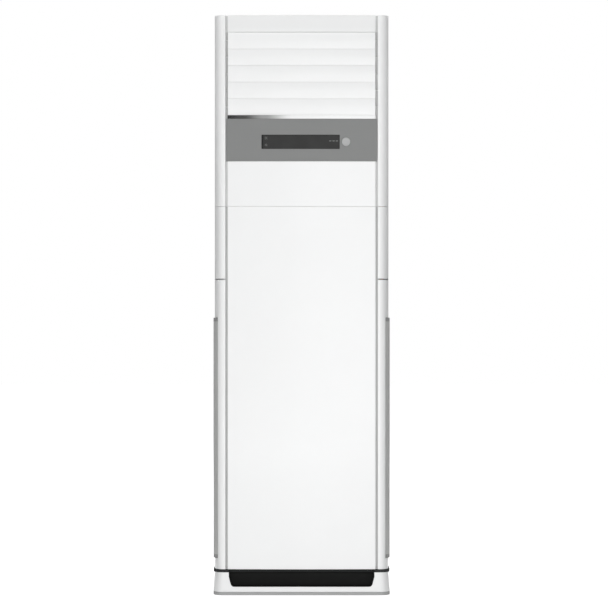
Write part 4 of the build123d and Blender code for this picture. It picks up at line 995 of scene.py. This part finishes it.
class CABINET_OT_base(CabinetOperator, bpy.types.Operator):
    """Model the base pan, the plinth, the gasket and the toe panel"""

    bl_idname = "cabinet.base"
    bl_label = "Base"

    def execute(self, context):
        edge = self.sizes.moulded_edge
        self.plinth(edge)
        self.pan(edge)
        self.gasket(edge)
        softened("toe_panel", "toe_panel_moulding", "toe_black", edge)
        return {"FINISHED"}

    def block(self, low, high, inset=0.0):
        """An upright block whose front corners turn as deep as the columns' do."""
        side, front, back = high.x - inset, low.y + inset, high.y - inset
        bm = boxes(((-side, front, low.z), (side, back, high.z)))
        for x in (-side, side):
            round_deep(bm, COLUMN_CORNER - inset, 18, near=(x, front, 0))
            round_off(bm, bm.verts[:], UP, CORNER - inset, 8, near=(x, back, 0))
        return bm

    def drawn_in(self, bm, low, high):
        """A block whose head is drawn in from the base's outline to the cabinet's."""
        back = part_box("rear_plate")[1].y
        head = [vert for vert in bm.verts if vert.co.z > (low.z + high.z) / 2]
        depth = (back - COLUMN_LOW.y) / (high.y - low.y)
        bmesh.ops.scale(bm, vec=(COLUMN_HIGH.x / high.x, depth, 1), verts=head)
        bmesh.ops.translate(bm, vec=(0, (back + COLUMN_LOW.y) / 2, 0), verts=head)
        return bm

    def plinth(self, edge):
        """The hollow plinth with the opening for the toe panel, wide above its knees."""
        low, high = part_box("base_plinth")
        past = Vector((0, 0, MM))
        plinth = put(self.drawn_in(self.block(low, high), low, high), "base_plinth_moulding",
                     "white_base", ["base_plinth"], edge=edge)
        cut_away(plinth, self.drawn_in(self.block(low - past, high + past, WALL), low, high))
        toe_low, toe_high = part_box("toe_panel")
        gap, draw, corner, knee = 0.3 * MM, 8 * MM, 8 * MM, 56 * MM
        side, foot, top = toe_high.x + gap, toe_low.z - gap, high.z + 10 * MM
        left = [(-side, top), (-side, knee), (draw - side, foot)]
        outline = left + [(-x, z) for x, z in reversed(left)]
        bm = bmesh.new()
        prism(bm, [(x, low.y - 10 * MM, z) for x, z in outline], (0, 20 * MM, 0))
        for x in (draw - side, side - draw):
            round_off(bm, bm.verts[:], DEEP, corner, 6, near=(x, 0, foot))
        cut_away(plinth, bm)

    def pan(self, edge):
        """The pressed pan with its floor's four anchor holes."""
        low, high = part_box("base_pan")
        sheet, hole = 2 * MM, 5 * MM
        pan = put(self.block(low, high), "base_pan_pressing", "base_steel", ["base_pan"], edge=edge)
        cut_away(pan, self.block(low + Vector((0, 0, sheet)), high + Vector((0, 0, MM)), sheet))
        bm = bmesh.new()
        for x in (-200 * MM, 200 * MM):
            for y in (-130 * MM, 130 * MM):
                bar(bm, (x, y, -MM), (x, y, 2 * sheet), hole, 40)
        cut_away(pan, bm)

    def gasket(self, edge):
        """A dark strip whose lip stands just proud of the cabinet and the plinth."""
        low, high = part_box("base_gasket")
        lip, width = 3.3 * MM, 12 * MM
        outer_low = Vector((-COLUMN_HIGH.x - lip, COLUMN_LOW.y - lip / 2, low.z + 0.1 * MM))
        outer_high = Vector((COLUMN_HIGH.x + lip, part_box("rear_plate")[1].y + lip / 2, high.z))
        gasket = put(self.block(outer_low, outer_high), "base_gasket_strip", "seal_rubber",
                     ["base_gasket"], edge=2 * edge)
        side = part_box("toe_panel")[1].x + 0.6 * MM
        cut_away(gasket, boxes(
            ((width + low.x, width + low.y, low.z - MM), (high.x - width, high.y - width, high.z + MM)),
            ((-side, outer_low.y - MM, low.z - MM), (side, width + low.y - MM, high.z + MM)),
        ))


class CABINET_OT_side_walls(CabinetOperator, bpy.types.Operator):
    """Soften the side plates and sills"""

    bl_idname = "cabinet.side_walls"
    bl_label = "Side walls"

    def execute(self, context):
        for hand in ("left", "right"):
            softened(f"side_plate_{hand}", f"side_plate_sheet_{hand}", "white_sheet",
                     self.sizes.folded_edge)
        softened("side_sills", "side_sills_moulding", "white_sheet", self.sizes.moulded_edge,
                 finish="white_gloss")
        return {"FINISHED"}


class CABINET_OT_rear(CabinetOperator, bpy.types.Operator):
    """Model the rear plate's ribs, its screws, the pipe grommet and the wall strap"""

    bl_idname = "cabinet.rear"
    bl_label = "Rear"

    def execute(self, context):
        low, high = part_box("rear_plate")
        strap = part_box("wall_bracket")
        softened("rear_plate", "rear_plate_sheet", "galvanised", self.sizes.folded_edge)
        self.ribs(low, high)
        self.screws(low, high, *strap)
        self.grommet(high)
        softened("wall_bracket", "wall_strap_pressing", "galvanised", self.sizes.folded_edge)
        self.pads(high.y - 1.2 * MM, (strap[0].z + strap[1].z) / 2)
        return {"FINISHED"}

    def pads(self, inside, middle):
        """Foam pads inside the sheet that close the windows behind the strap's holes."""
        bm = bmesh.new()
        reach = 13 * MM
        for x in (-100 * MM, 100 * MM):
            pad = box(bm, (x - reach, inside - 5 * MM, middle - reach),
                      (x + reach, inside - MM / 5, middle + reach))
            round_off(bm, pad, DEEP, 4 * MM, 5)
        put(bm, "strap_hole_pads", "liner_grey", edge=MM)

    def ribs(self, low, high):
        """Rounded stiffening ribs, in pairs, pressed outwards across the sheet."""
        bm = bmesh.new()
        run, width, height, first, pitch = 205 * MM, 7 * MM, 1.8 * MM, 260 * MM, 178 * MM
        for step in range(8):
            for offset in (-12 * MM, 12 * MM):
                z = low.z + first + step * pitch + offset
                rib = box(bm, (-run, high.y - height, z - width), (run, high.y + height, z + width))
                rounded = set(round_off(bm, rib, DEEP, width * 0.98, 8))
                crest = [edge for edge in bm.edges if not rounded.isdisjoint(edge.verts)
                         and min(vert.co.y for vert in edge.verts) > high.y]
                bevelled(bm, crest, height * 0.95, 4, clamp=True)
        put(bm, "rear_ribs", "galvanised")

    def screws(self, low, high, strap_low, strap_high):
        """Screws up both edges of the plate, along its foot and head, and in the strap's feet."""
        bm = bmesh.new()
        radius = self.sizes.screw_head
        inset, end, count = 12 * MM, 25 * MM, 7
        for x in (inset - high.x, high.x - inset):
            for step in range(count):
                z = low.z + end + step * (high.z - low.z - 2 * end) / (count - 1)
                pan_head(bm, (x, high.y, z), radius * 0.9)
        for z in (low.z + inset, high.z - inset):
            for x in (-160 * MM, 0.0, 160 * MM):
                pan_head(bm, (x, high.y, z), radius * 0.9)
        for x in (strap_low.x + 13 * MM, strap_high.x - 13 * MM):
            for z in (strap_low.z + 10 * MM, strap_high.z - 10 * MM):
                pan_head(bm, (x, high.y + 2.3 * MM, z), radius * 0.7)
        put(bm, "rear_screws", "galvanised", finish=["screw_steel", "dark_gap"], sharp=30.0)

    def grommet(self, high):
        """A rubber lip round the pipe outlet."""
        bm = bmesh.new()
        ring = [(35.2, -0.2), (35.2, 1.4), (36.2, 2.2), (38.6, 2.2), (39.8, 1.2), (39.8, -0.2)]
        profile = [(radius * MM, depth * MM) for radius, depth in ring + ring[:1]]
        turned(bm, Vector((150 * MM, high.y, 180 * MM)), profile, 64)
        put(bm, "pipe_outlet_grommet", "seal_rubber", sharp=50.0)


class CABINET_OT_vanes(CabinetOperator, bpy.types.Operator):
    """Model the five upright vanes with rounded edges, their link bar and the swing motors"""

    bl_idname = "cabinet.vanes"
    bl_label = "Vanes"

    def execute(self, context):
        for row in range(1, 6):
            softened(f"vane_{row}", f"vane_blade_{row}", "vane_grey", 0.35 * MM)
        softened("vane_link", "vane_link_bar", "vane_grey", 0.3 * MM)
        # The louvres' motor clears the column's rounded wall
        clearance = (Vector((242.5, -184.0, 0.0)) * MM, (7.0, -11.0, 0.0))
        softened("swing_motors", "swing_motor_cans", "step_motor", 0.3 * MM, clearance)
        return {"FINISHED"}


class CABINET_OT_blower(CabinetOperator, bpy.types.Operator):
    """Model the centrifugal wheel with its curved blades"""

    bl_idname = "cabinet.blower"
    bl_label = "Blower wheel"

    def execute(self, context):
        low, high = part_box("fan_wheel")
        middle = Vector(((low.x + high.x) / 2, 0, (low.z + high.z) / 2))
        rim, eye = (high.x - low.x) / 2 - 0.6 * MM, 123.6 * MM
        cup, hub, shaft = 79.4 * MM, 17.5 * MM, 5.9 * MM
        wall, front, back = 2.6 * MM, low.y + 0.1 * MM, high.y - 0.1 * MM
        cup_front, shaft_end, hub_front = 58.3 * MM, 109.6 * MM, 40.2 * MM
        plate = [
            (0, hub_front), (hub - MM, hub_front), (hub, hub_front + MM), (hub, cup_front - 2 * MM),
            (hub + 2 * MM, cup_front), (cup - 5 * MM, cup_front), (cup - 1.5 * MM, cup_front + 1.5 * MM),
            (cup, cup_front + 5 * MM), (cup, back - wall), (rim, back - wall), (rim, back),
            (cup - wall, back), (cup - wall, cup_front + 6 * MM), (cup - 7 * MM, cup_front + wall),
            (shaft, cup_front + wall), (shaft, shaft_end), (0, shaft_end),
        ]
        ring = [(eye, front), (rim, front), (rim, front + wall), (eye + 1.5 * MM, front + wall),
                (eye, front + 1.5 * MM)]
        bm = bmesh.new()
        turned(bm, middle, plate, 84)
        turned(bm, middle, ring + ring[:1], 84)
        self.blades(bm, middle, eye + 1.2 * MM, rim - eye - 2 * MM, front + wall / 2, back - wall / 2)
        put(bm, "blower_wheel_moulding", "wheel_plastic", ["fan_wheel"],
            body="fan_wheel", sharp=35.0)
        return {"FINISHED"}

    def blades(self, bm, middle, root, run, front, back):
        """A bowed blade from the eye to the rim, repeated round the wheel."""
        count, steps, bow, thick = 28, 8, 8 * MM, 1.3 * MM
        shares = [index / steps for index in range(steps + 1)]
        arc = [(root + run * share, -bow * math.sin(math.pi * share)) for share in shares]
        outline = [(x, z) for x, z in arc] + [(x, z + thick) for x, z in reversed(arc)]
        made = prism(bm, [middle + Vector((x, front, z)) for x, z in outline], (0, back - front, 0))
        chosen = set(made)
        made += [edge for edge in bm.edges if chosen.issuperset(edge.verts)]
        made += [face for face in bm.faces if chosen.issuperset(face.verts)]
        bmesh.ops.spin(bm, geom=made, cent=middle, axis=DEEP, angle=FULL_TURN * (count - 1) / count,
                       steps=count - 1, use_duplicate=True)


class CABINET_OT_stage(CabinetOperator, bpy.types.Operator):
    """Set the floor, the soft light and the camera"""

    bl_idname = "cabinet.stage"
    bl_label = "Stage"

    def execute(self, context):
        self.floor()
        self.world()
        low, high = (Vector(corner) for corner in CAD_BOX)
        centre = (low + high) / 2
        self.lamp("front_key", (-0.5, -8.0, 0.9), centre, 3.0, 430.0, mirrored=False)
        self.lamp("right_softbox", (1.2, -7.5, 1.1), centre, 2.6, 48.0)
        self.lamp("low_fill", (0.1, -1.8, 0.25), (0.0, low.y, 0.2), 0.6, 2.4, mirrored=False)
        self.lamp("top_fill", (0.0, 0.6, 5.0), centre, 1.6, 50.0, mirrored=False)
        for turn in (-1, 1):
            self.lamp("rear_side", (turn * 4.2, 5.0, 2.0), centre, 3.0, 125.0, mirrored=False)
            self.flag(turn)
        sensor = 36.0
        camera = placed("camera", bpy.data.cameras.new("camera"))
        camera.data.lens = self.sizes.lens
        camera.data.sensor_width = sensor
        camera.data.clip_end = 100.0
        distance = self.sizes.view_width * self.sizes.lens / sensor
        camera.location = (7.3 * MM, low.y - distance, 888.6 * MM)
        camera.rotation_euler = (math.pi / 2, 0.0, 0.0)
        context.scene.camera = camera
        context.scene.view_settings.view_transform = "Standard"
        return {"FINISHED"}

    def lamp(self, name, place, aim, size, power, mirrored=True):
        """A square soft light that faces a point, with or without its own highlight."""
        data = bpy.data.lights.new(name, "AREA")
        data.size = size
        data.energy = power
        lamp = placed(name, data)
        lamp.visible_glossy = mirrored
        lamp.visible_camera = False
        lamp.location = place
        lamp.rotation_euler = (Vector(aim) - Vector(place)).to_track_quat("-Z", "Y").to_euler()

    def flag(self, turn):
        """A black board beside the lower columns, out of the camera's sight, which draws their edges."""
        away, front, back, foot, head = 0.75, -0.6, 0.0, 0.02, 1.19
        bm = bmesh.new()
        corners = ((front, foot), (back, foot), (back, head), (front, head))
        bm.faces.new([bm.verts.new((turn * away, y, z)) for y, z in corners])
        flag = placed("edge_flag", stored(bm, "edge_flag"))
        flag.visible_camera = False
        flag.data.materials.append(Finish("flag_black", (0.02, 0.02, 0.02), 0.95, gloss=0.0).material)

    def seen(self, tree, *paths):
        """One where a ray of any of these kinds asks, else nought."""
        outputs = added(tree, "LightPath", {}).outputs
        total = outputs[paths[0]]
        for name in paths[1:]:
            total = added(tree, "Math", {0: total, 1: outputs[name]}, operation="MAXIMUM").outputs["Value"]
        return total

    def world(self):
        """White where it is seen, dimmer in a mirror, a plain grey where it lights the cabinet."""
        world = bpy.data.worlds.new("studio")
        bpy.context.scene.world = world
        world.use_nodes = True
        tree = world.node_tree
        white = (1.0, 1.0, 1.0, 1.0)
        light = tree.nodes["Background"]
        light.inputs["Color"].default_value = white
        light.inputs["Strength"].default_value = 0.26
        mirrored = self.seen(tree, "Is Glossy Ray")
        dimmed = added(tree, "MapRange", {"Value": mirrored, "To Min": 1.0, "To Max": 0.4})
        sight = added(tree, "Background", {"Color": white, "Strength": dimmed.outputs["Result"]})
        direct = self.seen(tree, "Is Camera Ray", "Is Glossy Ray", "Is Transmission Ray")
        mix = added(tree, "MixShader", {0: direct, 1: light.outputs[0], 2: sight.outputs[0]})
        tree.links.new(mix.outputs[0], tree.nodes["World Output"].inputs["Surface"])

    def floor(self):
        """A broad pale floor that looks white and keeps the cabinet's shadow."""
        bm = bmesh.new()
        under = Matrix.Translation((0, 0, -0.2 * MM))
        bmesh.ops.create_grid(bm, x_segments=1, y_segments=1, size=20.0, matrix=under)
        floor = placed("floor", stored(bm, "floor"))
        finish = Finish("floor_white", (0.8, 0.8, 0.8), 0.9, gloss=0.0)
        tree = finish.tree
        looked_at = self.seen(tree, "Is Camera Ray", "Is Glossy Ray")
        boost = added(tree, "Math", {0: looked_at, 1: 0.81}, operation="MULTIPLY")
        glow = added(tree, "Emission", {"Strength": boost.outputs["Value"]})
        both = added(tree, "AddShader", {0: finish.shader.outputs["BSDF"], 1: glow.outputs["Emission"]})
        tree.links.new(both.outputs[0], tree.nodes["Material Output"].inputs["Surface"])
        floor.data.materials.append(finish.material)


OPERATORS = (
    CABINET_OT_finishes,
    CABINET_OT_stage,
    CABINET_OT_front_panels,
    CABINET_OT_columns,
    CABINET_OT_control_panel,
    CABINET_OT_louvres,
    CABINET_OT_side_grilles,
    CABINET_OT_base,
    CABINET_OT_side_walls,
    CABINET_OT_rear,
    CABINET_OT_vanes,
    CABINET_OT_blower,
)


class CABINET_PT_panel(bpy.types.Panel):
    """Lists the cabinet's sizes, colours and steps"""

    bl_idname = "CABINET_PT_panel"
    bl_label = "Air conditioner cabinet"
    bl_space_type = "VIEW_3D"
    bl_region_type = "UI"
    bl_category = "Cabinet"

    def draw(self, context):
        for group in (context.scene.cabinet_sizes, context.scene.cabinet_colours):
            column = self.layout.column()
            for name in group.__annotations__:
                column.prop(group, name)
        for operator in OPERATORS:
            self.layout.operator(operator.bl_idname)


CLASSES = (CabinetSizes, CabinetColours, *OPERATORS, CABINET_PT_panel)


def register():
    """Register every class and hang the two groups on the scene."""
    for cls in CLASSES:
        bpy.utils.register_class(cls)
    bpy.types.Scene.cabinet_sizes = bpy.props.PointerProperty(type=CabinetSizes)
    bpy.types.Scene.cabinet_colours = bpy.props.PointerProperty(type=CabinetColours)


def unregister():
    """Undo what register did."""
    del bpy.types.Scene.cabinet_colours
    del bpy.types.Scene.cabinet_sizes
    for cls in reversed(CLASSES):
        bpy.utils.unregister_class(cls)


def main():
    """Build the whole scene in order."""
    register()
    for operator in OPERATORS:
        group, name = operator.bl_idname.split(".")
        getattr(getattr(bpy.ops, group), name)()


if __name__ == "__main__":
    main()
